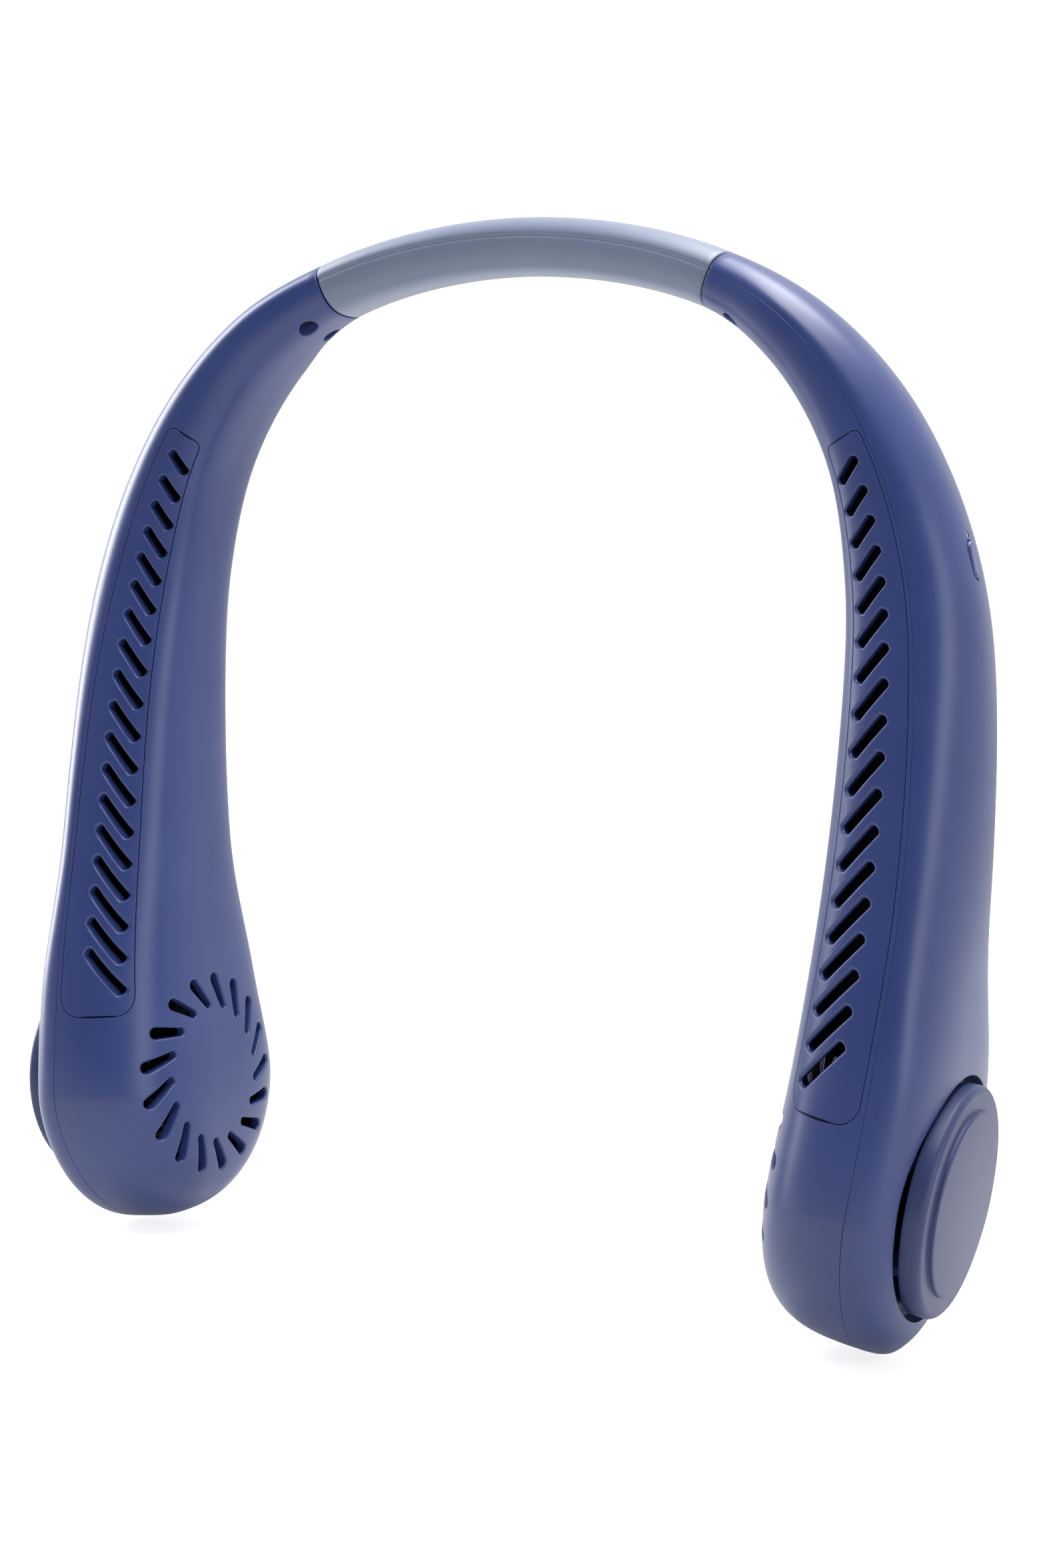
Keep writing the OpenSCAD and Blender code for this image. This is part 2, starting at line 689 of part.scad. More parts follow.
module neck_plug() {
    tenon_s = sleeve_half_len - tenon_len;
    plug_from = mouth_s + joint_gap;
    plug_to = mouth_s + plug_len;
    color("#30343c") difference() {
        union() {
            full_solid(tenon_s, plug_from + over, 2, sleeve_wall + joint_gap);
            full_solid(plug_from, plug_to, 2, wall + fit_gap);
        }
        neck_channels(tenon_s - over, plug_to + over, 5);
        ledge_notch();
        at_wells() {
            outwards(ledge_u - over) cylinder(d = screw_d + 2 * fit_gap, h = boss_u - ledge_u + 2 * over,
                $fn = small_fn);
            outwards(boss_u - fit_gap) cylinder(d = screw_d + 2 * boss_wall + 2 * fit_gap, h = bulb_out,
                $fn = small_fn);
        }
    }
}
module plug_screws() {
    head_from = well_top - screw_head_h;
    shank = boss_top - wall / 2 - head_from - fit_gap;
    color("#9a9da3") at_wells() {
        outwards(head_from) cylinder(d = screw_head_d, h = screw_head_h, $fn = small_fn);
        outwards(head_from) cylinder(d = screw_d, h = shank, $fn = small_fn);
    }
}

// Duct wall between the air duct and the battery's bay, an angle strip along the arm

duct_v = -1;
duct_u = 0.6;
duct_t = 1;
duct_from = mouth_s + plug_len + 8;
duct_to = fan_s - seat_r - 13;
duct_front_share = 0.86;
module duct_wall() {
    stations = spread(duct_from, duct_to, 12);
    color("#2c3350") loft(stations, [
        for (s = stations)
        let (
            deep = -size_in(s, wall + fit_gap),
            front = -size_front(s, wall + fit_gap) * duct_front_share
        )
        [[deep, duct_v - duct_t], [deep, duct_v], [duct_u, duct_v], [duct_u, front], [duct_u - duct_t,
            front],
            [duct_u - duct_t, duct_v - duct_t]]
    ]);
}
module battery_cell() {
    tip_d = cell_d * 0.4;
    tip_h = 1;
    color("#3f8f6a") station(cell_s) translate([cell_u, cell_v, -cell_len / 2]) {
        cylinder(d = cell_d, h = cell_len - tip_h, $fn = round_fn);
        translate([0, 0, cell_len - tip_h]) cylinder(d = tip_d, h = tip_h, $fn = small_fn);
    }
}

// Leads from the neck's wires down the shell to the motor

lead_gap = 0.6;
lead_pitch = 1.4;
lead_count = 2;
lead_v = 0.3;
lead_start = wire_end + joint_gap;
lead_end = fan_s - seat_r - joint_gap;
lead_rise = 8;
function lead_u(s) =
    let (
        along_wall = -size_in(s, wall + lead_gap + wire_d / 2),
        up_to_base = -bulb_in + seat_h + base_t / 2,
        near_end = min(1, max(0, (s - (lead_end - lead_rise)) / lead_rise)),
        near_start = min(1, (s - lead_start) / lead_rise)
    )
    (wire_u * (1 - near_start) + along_wall * near_start) * (1 - near_end) + up_to_base * near_end;
function lead_v_at(s, k) =
    let (t = min(1, (s - lead_start) / lead_rise))
    (1 - t) * wire_v(k + 2) + t * (lead_v + wire_v(2) + k * lead_pitch);
lead_stations = concat(spread(lead_start, lead_end - lead_rise, 15), spread(lead_end - lead_rise / 2,
    lead_end, 1));
module motor_leads() {
    color("#c9a43a") for (k = [0 : lead_count - 1])
        loft(lead_stations, [for (s = lead_stations) wire_ring(lead_u(s), lead_v_at(s, k))]);
}
// Motor: base with its tube, stator, bush, shaft, rotor can and magnet

seat_top = -bulb_in + seat_h;
base_top = seat_top + base_t;
bush_r = shaft_d / 2 + shaft_gap + bush_wall;
tube_wall = 0.8;
tube_r = bush_r + tube_wall;
tube_h = can_h - can_t - 0.8;
stator_h = 3.6;
stator_lift = 1.4;
core_r = tube_r + 1.4;
pole_w = 1.3;
shoe_t = 0.9;
shoe_share = 0.7;
rotor_lift = 0.8;
can_from = base_top + rotor_lift;
can_top = can_from + can_h;
module motor_base() {
    color("#8e939b") fan_axis(seat_top) difference() {
        union() {
            cylinder(r = seat_r - fit_gap, h = base_t, $fn = round_fn);
            cylinder(r = tube_r, h = base_t + tube_h, $fn = round_fn);
        }
        translate([0, 0, base_t]) cylinder(r = bush_r, h = tube_h + over, $fn = round_fn);
    }
}
module shaft_bush() {
    color("#b08d57") fan_axis(base_top) difference() {
        cylinder(r = bush_r, h = tube_h, $fn = round_fn);
        translate([0, 0, -over])
            cylinder(r = shaft_d / 2 + shaft_gap, h = tube_h + 2 * over, $fn = round_fn);
    }
}
module stator() {
    color("#b4682f") fan_axis(base_top + stator_lift) difference() {
        union() {
            cylinder(r = core_r, h = stator_h, $fn = round_fn);
            for (k = [0 : pole_count - 1]) rotate([0, 0, 360 * k / pole_count])
                translate([0, -pole_w / 2, 0]) cube([stator_r - shoe_t / 2, pole_w, stator_h]);
            intersection() {
                difference() {
                    cylinder(r = stator_r, h = stator_h, $fn = round_fn);
                    translate([0, 0, -over]) cylinder(r = stator_r - shoe_t, h = stator_h + 2 * over,
                        $fn = round_fn);
                }
                for (k = [0 : pole_count - 1]) rotate([0, 0, 360 * k / pole_count])
                    translate([0, -stator_r * sin(180 / pole_count) * shoe_share, 0])
                        cube([2 * stator_r, 2 * stator_r * sin(180 / pole_count) * shoe_share, stator_h]);
            }
        }
        translate([0, 0, -over]) cylinder(r = tube_r, h = stator_h + 2 * over, $fn = round_fn);
    }
}
module rotor_can() {
    color("#a7abb2") fan_axis(can_from) difference() {
        cylinder(r = can_r, h = can_h, $fn = round_fn);
        translate([0, 0, -over]) cylinder(r = can_r - can_t, h = can_h - can_t + over, $fn = round_fn);
        cylinder(d = shaft_d, h = can_h + over, $fn = small_fn);
    }
}
module magnet_ring() {
    color("#3a3a3e") fan_axis(can_from) difference() {
        cylinder(r = can_r - can_t, h = can_h - can_t - 1, $fn = round_fn);
        translate([0, 0, -over]) cylinder(r = can_r - can_t - magnet_t, h = can_h + over, $fn = round_fn);
    }
}
module motor_shaft() {
    color("#d0d3d8") fan_axis(base_top + fit_gap)
        cylinder(d = shaft_d, h = can_top - base_top - fit_gap, $fn = small_fn);
}

// Centrifugal impeller: hub cup, middle plate, curved blades and end rings

hub_t = 1;
plate_t = 1;
impeller_gap = 2.4;
blade_steps = 4;
blade_lead = 24;
blade_turn = 30;
end_ring_w = 1.2;
end_ring_h = 1;
blade_from = floor_top - wall - impeller_gap - blade_h;
function blade_point(t, side) =
    let (
        r = blade_in_r + (impeller_r - end_ring_w / 2 - blade_in_r) * t,
        angle = blade_lead * t * t,
        lean = angle + blade_turn * t
    )
    [r * cos(angle) - side * blade_t / 2 * sin(lean), r * sin(angle) + side * blade_t / 2 * cos(lean)];
module blade() {
    linear_extrude(blade_h) polygon(concat(
        [for (i = [0 : blade_steps]) blade_point(i / blade_steps, -1)],
        [for (i = [blade_steps : -1 : 0]) blade_point(i / blade_steps, 1)]
    ));
}
module end_ring() {
    difference() {
        cylinder(r = impeller_r, h = end_ring_h, $fn = round_fn);
        translate([0, 0, -over])
            cylinder(r = impeller_r - end_ring_w, h = end_ring_h + 2 * over, $fn = round_fn);
    }
}
module impeller() {
    plate_from = can_h - plate_t;
    color("#2b2e36") fan_axis(can_from) difference() {
        union() {
            cylinder(r = can_r + hub_t, h = can_h + hub_t, $fn = round_fn);
            translate([0, 0, plate_from]) cylinder(r = blade_in_r + plate_t, h = plate_t, $fn = round_fn);
            translate([0, 0, blade_from - can_from]) {
                for (k = [0 : blade_count - 1]) rotate([0, 0, 360 * k / blade_count]) blade();
                end_ring();
                translate([0, 0, blade_h - end_ring_h]) end_ring();
            }
        }
        translate([0, 0, -over]) cylinder(r = can_r, h = can_h + over, $fn = round_fn);
    }
}

// Electronics of the right arm, laid out from the board's station

board_u = 0.8;
board_top = board_u + board_t;
board_v = 3;
post_d = 3;
post_inset = 3;
chip = [0.9, 5, 5];
chip_gap = 3.4;
switch_w = 4.5;
switch_h = 1.6;
plunger_d = 2;
plunger_h = 0.6;
stem_d = 2.6;
flange_t = 1;
flange_w = 1;
flange_end = 0.2;
flange_drop = 0.7;
stop_gap = 0.05;
light_drop = 0.5;
button_seat = size_out(button_s, 0);
flange_top = button_seat - wall - flange_drop;
button_bottom = board_top + switch_h + plunger_h + button_travel + stop_gap;
light_z = button_len / 2 + light_d / 2 + 0.4;
port_z = -board_len / 2 + port_w / 2 + 0.6;
port_shell = 0.4;
port_margin = 0.25;
port_floor = 1;
port_face = size_rear(button_s, 0) * 0.9;
module at_board_posts() {
    for (side = [-1, 1])
        translate([0, board_v + side * (board_w / 2 - post_inset), side * (board_len / 2 - post_inset)])
            children();
}
// Height of the middle of the shell's wall above the button's station, at z up the arm
function wall_height(z, v) =
    let (
        s = button_s - z,
        q = seam_point(button_s),
        h = heading(button_s),
        p = at(s, size_out(s, wall / 2) * sqrt(1 - pow(v / size_rear(s, wall / 2), 2)), v)
    )
    (p[0] - q[0]) * sin(h) + (p[2] - q[1]) * cos(h);
module main_board() {
    color("#1f6b45") station(button_s) {
        difference() {
            translate([board_u, board_v - board_w / 2, -board_len / 2]) cube([board_t, board_w, board_len]);
            at_board_posts() outwards(board_u - over)
                cylinder(d = screw_d, h = board_t + 2 * over, $fn = small_fn);
        }
        for (side = [-1, 1])
            translate([board_top, -chip[1] / 2,
                side * (button_len / 2 + chip_gap + chip[2] / 2) - chip[2] / 2])
                cube(chip);
    }
}
module tact_switch() {
    color("#c2c4c9") station(button_s) {
        translate([board_top, -switch_w / 2, -switch_w / 2]) cube([switch_h, switch_w, switch_w]);
        outwards(board_top + switch_h) cylinder(d = plunger_d, h = plunger_h, $fn = small_fn);
    }
}
module power_button() {
    color("#5a68a4") station(button_s) {
        pill(button_len, button_w, button_seat + button_proud - flange_top + flange_t / 2,
            flange_top - flange_t / 2);
        pill(button_len + 2 * flange_end, button_w + 2 * flange_w, flange_t, flange_top - flange_t);
        outwards(button_bottom)
            cylinder(d = stem_d, h = flange_top - flange_t / 2 - button_bottom, $fn = small_fn);
    }
}
module button_hole() {
    station(button_s) pill(button_len + 2 * button_gap, button_w + 2 * button_gap, bulb_out, flange_top);
}
module light_hole() {
    station(button_s) translate([0, 0, light_z]) outwards(flange_top)
        cylinder(d = light_d + 2 * thread_gap, h = bulb_out, $fn = small_fn);
}
module light_guide() {
    color("#e8ecf4") station(button_s) translate([0, 0, light_z]) outwards(board_top)
        cylinder(d = light_d, h = button_seat - light_drop - board_top, $fn = small_fn);
}
module board_posts() {
    station(button_s) for (side = [-1, 1]) {
        z = side * (board_len / 2 - post_inset);
        v = board_v + side * (board_w / 2 - post_inset);
        translate([0, v, z]) {
            outwards(board_top) cylinder(d = post_d, h = wall_height(z, v) - board_top, $fn = small_fn);
            outwards(board_u - fit_gap) cylinder(d = screw_d - 2 * fit_gap, h = board_t + 2 * fit_gap,
                $fn = small_fn);
        }
    }
}
// A slot outline drawn out along +Y, long in Z
module port_slot(width, height, depth) {
    straight = width - height;
    rotate([-90, 0, 0]) {
        for (end = [-1, 1]) translate([0, end * straight / 2, 0])
            cylinder(d = height, h = depth, $fn = small_fn);
        translate([-height / 2, -straight / 2, 0]) cube([height, straight, depth]);
    }
}
module at_port() { station(button_s) translate([board_top + port_h / 2, port_face, port_z]) children(); }
module charge_port() {
    color("#b9bcc2") at_port() difference() {
        translate([0, -port_depth, 0]) port_slot(port_w, port_h, port_depth);
        translate([0, -port_depth + port_floor, 0])
            port_slot(port_w - 2 * port_shell, port_h - 2 * port_shell, port_depth + over);
    }
}
module port_hole() {
    at_port() translate([0, -port_depth, 0])
        port_slot(port_w + 2 * port_margin, port_h + 2 * port_margin, port_depth + bulb_rear);
}

neck_sleeve();
spring_strip();
neck_harness();
strip_saddle();
left_side() inner_shell();  // left_inner_shell
inner_shell();  // right_inner_shell
left_side() color("#44548f") plain_outer_shell();  // left_outer_shell
color("#44548f") outer_shell_with_button();  // right_outer_shell
left_side() outlet_grille();  // left_outlet_grille
outlet_grille();  // right_outlet_grille
left_side() intake_cap();  // left_intake_cap
intake_cap();  // right_intake_cap
left_side() neck_plug();  // left_neck_plug
neck_plug();  // right_neck_plug
left_side() plug_screws();  // left_plug_screws
plug_screws();  // right_plug_screws
left_side() duct_wall();  // left_duct_wall
duct_wall();  // right_duct_wall
left_side() battery_cell();  // left_battery_cell
battery_cell();  // right_battery_cell
left_side() motor_leads();  // left_motor_leads
motor_leads();  // right_motor_leads
left_side() motor_base();  // left_motor_base
motor_base();  // right_motor_base
left_side() stator();  // left_stator
stator();  // right_stator
left_side() shaft_bush();  // left_shaft_bush
shaft_bush();  // right_shaft_bush
left_side() impeller();  // left_impeller
impeller();  // right_impeller
left_side() rotor_can();  // left_rotor_can
rotor_can();  // right_rotor_can
left_side() magnet_ring();  // left_magnet_ring
magnet_ring();  // right_magnet_ring
left_side() motor_shaft();  // left_motor_shaft
motor_shaft();  // right_motor_shaft
power_button();
main_board();
tact_switch();
charge_port();
light_guide();
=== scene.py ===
"""Dresses an electric neck fan: two moulded arms with grilles and intake caps, on a bendable neck.

Lengths are in millimetres while a mesh is made and in metres once it is finished. The bow's seam runs
from the crown, at seam length 0, down each arm to the foot. At any seam length, u points outwards from
the seam and v towards the back.
"""
import json
import logging
import math
from dataclasses import dataclass, field
from enum import Enum
from typing import Dict, List, Sequence, Tuple, Union

import bmesh
import bpy
import numpy as np
from mathutils import Matrix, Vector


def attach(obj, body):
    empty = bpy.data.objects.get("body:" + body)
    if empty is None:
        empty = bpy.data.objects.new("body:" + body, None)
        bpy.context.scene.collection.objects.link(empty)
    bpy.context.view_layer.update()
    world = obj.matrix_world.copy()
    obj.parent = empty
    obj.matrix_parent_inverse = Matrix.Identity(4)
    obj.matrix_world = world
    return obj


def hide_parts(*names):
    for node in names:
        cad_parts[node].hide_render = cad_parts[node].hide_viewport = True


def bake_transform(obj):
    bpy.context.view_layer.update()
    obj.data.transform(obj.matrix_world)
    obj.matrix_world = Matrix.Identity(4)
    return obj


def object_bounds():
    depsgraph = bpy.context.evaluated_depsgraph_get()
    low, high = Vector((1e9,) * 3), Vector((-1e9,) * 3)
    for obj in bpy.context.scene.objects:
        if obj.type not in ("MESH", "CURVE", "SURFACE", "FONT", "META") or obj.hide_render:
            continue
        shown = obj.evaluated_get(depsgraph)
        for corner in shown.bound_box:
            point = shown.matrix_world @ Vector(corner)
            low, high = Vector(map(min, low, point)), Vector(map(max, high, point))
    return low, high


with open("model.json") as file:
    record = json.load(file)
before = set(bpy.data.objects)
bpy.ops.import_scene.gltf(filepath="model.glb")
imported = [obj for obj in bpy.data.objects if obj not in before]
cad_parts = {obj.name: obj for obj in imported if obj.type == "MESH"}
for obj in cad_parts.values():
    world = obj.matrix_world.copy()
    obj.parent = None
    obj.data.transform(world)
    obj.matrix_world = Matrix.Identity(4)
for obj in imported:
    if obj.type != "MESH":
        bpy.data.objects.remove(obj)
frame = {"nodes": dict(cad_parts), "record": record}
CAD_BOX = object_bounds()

log = logging.getLogger("neck_fan")
MM = 0.001
MERGE_DIST = 0.0008  # points closer than this become one
SLOPE_STEP = 0.02  # half of the length over which the skin's slope is read
BEND_STEP = 0.5  # half of the length over which the seam's bend is read
LEAST_STRETCH = 0.3
SKIN_DEEP = 1.0  # an outline this far from the skin no longer follows it
Colour = Tuple[float, float, float]
Faces = List[Tuple[int, ...]]
Rims = Sequence[Tuple[float, float]]
Triple = Tuple[np.ndarray, np.ndarray, np.ndarray]


class Half(Enum):
    """The two moulded halves of an arm."""

    NECK = -1
    OUTER = 1


class Side(Enum):
    """The two arms, as the sign of X."""

    LEFT = -1
    RIGHT = 1

    @property
    def word(self) -> str:
        """The side's name as the CAD nodes and bodies have it."""
        return self.name.lower()

    @property
    def flip(self) -> np.ndarray:
        """Factors that take the right arm's points to this side."""
        return np.array([self.value, 1, 1])


class Cap(Enum):
    """How a loft ends."""

    POLYGON = "one face"
    PAIRED = "rows of faces between mirrored points"
    POLE = "a single point"


class Carving(Enum):
    """What a carving tool does, in the Boolean modifier's own words."""

    CUT = "DIFFERENCE"
    KEEP = "INTERSECT"
    ADD = "UNION"


def placed(name: str, data: bpy.types.ID) -> bpy.types.Object:
    """Makes an object of some data and puts it in the scene.

    Args:
        name: the object's name.
        data: its mesh, light or camera.

    Returns:
        The object.
    """
    obj = bpy.data.objects.new(name, data)
    bpy.context.scene.collection.objects.link(obj)
    return obj


def standing(axes: Sequence[np.ndarray], place: Sequence[float]) -> Matrix:
    """The placing of something whose own axes point along the three given."""
    return Matrix([[*(axis[i] for axis in axes), place[i]] for i in range(3)] + [[0, 0, 0, 1]])


# Solids as points and faces


@dataclass
class Solid:
    """A closed mesh in millimetres."""

    points: np.ndarray
    faces: Faces

    def plus(self, *others: "Solid") -> "Solid":
        """Puts solids side by side in one mesh.

        Args:
            others: the solids to add, clear of each other.

        Returns:
            One solid with all their faces.
        """
        points, faces = [self.points], list(self.faces)
        start = len(self.points)
        for other in others:
            points.append(other.points)
            faces += [tuple(i + start for i in face) for face in other.faces]
            start += len(other.points)
        return Solid(np.concatenate(points), faces)

    def mirrored(self, side: Side) -> "Solid":
        """Gives the solid for one side of the object.

        Args:
            side: LEFT mirrors it across the middle plane.

        Returns:
            The solid itself or its mirror image.
        """
        return Solid(self.points * side.flip, self.faces)

    def as_object(self, name: str) -> bpy.types.Object:
        """Makes a mesh object with merged points and outward faces.

        Args:
            name: the object's name.

        Returns:
            The new object, still in millimetres.
        """
        mesh = bpy.data.meshes.new(name)
        mesh.from_pydata(self.points.tolist(), [], self.faces)
        bm = bmesh.new()
        bm.from_mesh(mesh)
        bmesh.ops.remove_doubles(bm, verts=bm.verts, dist=MERGE_DIST)
        bmesh.ops.dissolve_degenerate(bm, edges=bm.edges, dist=MERGE_DIST)
        bmesh.ops.recalc_face_normals(bm, faces=bm.faces)
        bm.to_mesh(mesh)
        bm.free()
        return placed(name, mesh)

    @classmethod
    def taken_from(cls, obj: bpy.types.Object) -> "Solid":
        """Takes an object's mesh and removes the object.

        Args:
            obj: the object, in millimetres.

        Returns:
            The solid that it showed.
        """
        solid = cls(np.array([v.co[:] for v in obj.data.vertices]),
                    [tuple(face.vertices) for face in obj.data.polygons])
        bpy.data.objects.remove(obj)
        return solid


def band_faces(rows: int, n: int, looped: bool = False) -> Faces:
    """Joins rows of points with four-sided faces, each row closed on itself.

    Args:
        rows: how many rows.
        n: points in a row.
        looped: whether the last row joins the first.

    Returns:
        The faces.
    """
    faces: Faces = []
    for k in range(rows if looped else rows - 1):
        here, there = k * n, (k + 1) % rows * n
        for i in range(n):
            j = (i + 1) % n
            faces.append((here + i, here + j, there + j, there + i))
    return faces


def loft(rings: Sequence[np.ndarray], first: Cap = Cap.POLYGON, last: Cap = Cap.POLYGON) -> Solid:
    """Joins closed rings of points into a closed solid.

    Args:
        rings: rings with the same number of points each.
        first: how the first ring is closed.
        last: how the last ring is closed.

    Returns:
        The solid.
    """
    n = len(rings[0])
    faces = band_faces(len(rings), n)
    for cap, start in ((first, 0), (last, (len(rings) - 1) * n)):
        if cap is Cap.POLYGON:
            faces.append(tuple(range(start, start + n)))
        elif cap is Cap.PAIRED:
            for i in range(n // 2 - 1):
                faces.append((start + i, start + i + 1, start + n - 2 - i, start + n - 1 - i))
    return Solid(np.concatenate(rings), faces)


def turned(profile: Sequence[Tuple[float, float]], parts: int = 96) -> Solid:
    """Turns a closed profile about the Z axis.

    Args:
        profile: points of radius and height, round the section once.
        parts: faces round the turn.

    Returns:
        The solid in its own axis frame.
    """
    rings = []
    for k in range(parts):
        angle = 2 * math.pi * k / parts
        rings.append(np.array([[r * math.cos(angle), r * math.sin(angle), z] for r, z in profile]))
    n = len(profile)
    faces = [face for face in band_faces(parts, n, True)
             if profile[face[0] % n][0] > 0 or profile[face[1] % n][0] > 0]
    return Solid(np.concatenate(rings), faces)


def arc(centre: Tuple[float, float], radius: float, start: float, stop: float, parts: int = 6
        ) -> List[Tuple[float, float]]:
    """Lays points along an arc.

    Args:
        centre: the arc's centre.
        radius: its radius.
        start: first angle in degrees.
        stop: last angle in degrees.
        parts: steps along it.

    Returns:
        The points, both ends among them.
    """
    angles = [math.radians(start + (stop - start) * i / parts) for i in range(parts + 1)]
    return [(centre[0] + radius * math.cos(a), centre[1] + radius * math.sin(a)) for a in angles]


def circle(radius: float, parts: int) -> np.ndarray:
    """Rows of x and y round a circle."""
    a = np.linspace(0, 2 * math.pi, parts, endpoint=False)
    return radius * np.stack([np.cos(a), np.sin(a)], -1)


def pill(radius: float, half: float, parts: int = 16) -> np.ndarray:
    """Lays points round a slot with two round ends.

    Args:
        radius: the ends' radius.
        half: how far the ends' centres lie from the middle.
        parts: steps round each end.

    Returns:
        Rows of x and y, with the slot's length along y.
    """
    rows = []
    for end, turn in ((half, 0.0), (-half, math.pi)):
        for a in np.linspace(0, math.pi, parts + 1):
            rows.append((radius * math.cos(turn + a), end + radius * math.sin(turn + a)))
    return np.array(rows)


def bulge(share: np.ndarray, power: np.ndarray) -> np.ndarray:
    """Share of the depth that is left at a share of the width, for a section's squareness."""
    return (1 - share ** power) ** (1 / power)


def half_curve(half: Half, angle: np.ndarray, sizes: Sequence[float], powers: Sequence[float]
               ) -> np.ndarray:
    """Lays points along half a section.

    Args:
        half: which half.
        angle: angles from 0 at the front of the seam to pi at its back.
        sizes: half sizes in, out, front and rear.
        powers: squareness in front of the seam and behind it.

    Returns:
        Rows of u and v.
    """
    inwards, outwards, front, rear = sizes
    depth = inwards if half is Half.NECK else outwards
    ahead = angle < math.pi / 2
    power = np.where(ahead, powers[0], powers[1])
    return np.stack([half.value * depth * np.clip(np.sin(angle), 0, 1) ** (2 / power),
                     np.where(ahead, -front, rear) * np.abs(np.cos(angle)) ** (2 / power)], -1)


def settled(obj: bpy.types.Object) -> bpy.types.Object:
    """Makes an object's mesh what its modifiers show, and takes them off.

    Args:
        obj: the object.

    Returns:
        The same object.
    """
    graph = bpy.context.evaluated_depsgraph_get()
    mesh = bpy.data.meshes.new_from_object(obj.evaluated_get(graph))
    obj.modifiers.clear()
    old, obj.data = obj.data, mesh
    bpy.data.meshes.remove(old)
    return obj


def carve(target: bpy.types.Object, tool: Solid, carving: Carving = Carving.CUT) -> bpy.types.Object:
    """Applies a Boolean operation and leaves a plain mesh.

    Args:
        target: the object that is changed.
        tool: the carving solid.
        carving: what it does.

    Returns:
        The same object.
    """
    cutter = tool.as_object(target.name + "_tool")
    step = target.modifiers.new("carve", "BOOLEAN")
    step.operation, step.solver, step.object = carving.value, "EXACT", cutter
    settled(target)
    spent = cutter.data
    bpy.data.objects.remove(cutter)
    bpy.data.meshes.remove(spent)
    return target


# The bow that everything follows


class ShareCurve:
    """A smooth curve through a table of shares."""

    def __init__(self, rows: Sequence[Tuple[float, float]]) -> None:
        """Finds the slopes at the rows, so that the curve never overshoots them.

        Args:
            rows: pairs of a place between 0 and 1 and the value there.
        """
        self.x = np.array([r[0] for r in rows], float)
        self.y = np.array([r[1] for r in rows], float)
        secant = np.diff(self.y) / np.diff(self.x)
        slope = np.empty_like(self.x)
        slope[0], slope[-1] = secant[0], secant[-1]
        before, after = secant[:-1], secant[1:]
        both = before * after > 0
        slope[1:-1] = np.where(both, 2 * before * after / np.where(both, before + after, 1), 0)
        self.slope = slope

    def __call__(self, x: np.ndarray) -> np.ndarray:
        """Reads the curve.

        Args:
            x: places between 0 and 1.

        Returns:
            The values there.
        """
        x = np.clip(np.asarray(x, float), 0, 1)
        i = np.clip(np.searchsorted(self.x, x, side="right") - 1, 0, len(self.x) - 2)
        span = self.x[i + 1] - self.x[i]
        t = (x - self.x[i]) / span
        w = 1 - t
        return (w * w * (1 + 2 * t) * self.y[i] + t * t * (3 - 2 * t) * self.y[i + 1]
                + t * w * span * (w * self.slope[i] - t * self.slope[i + 1]))


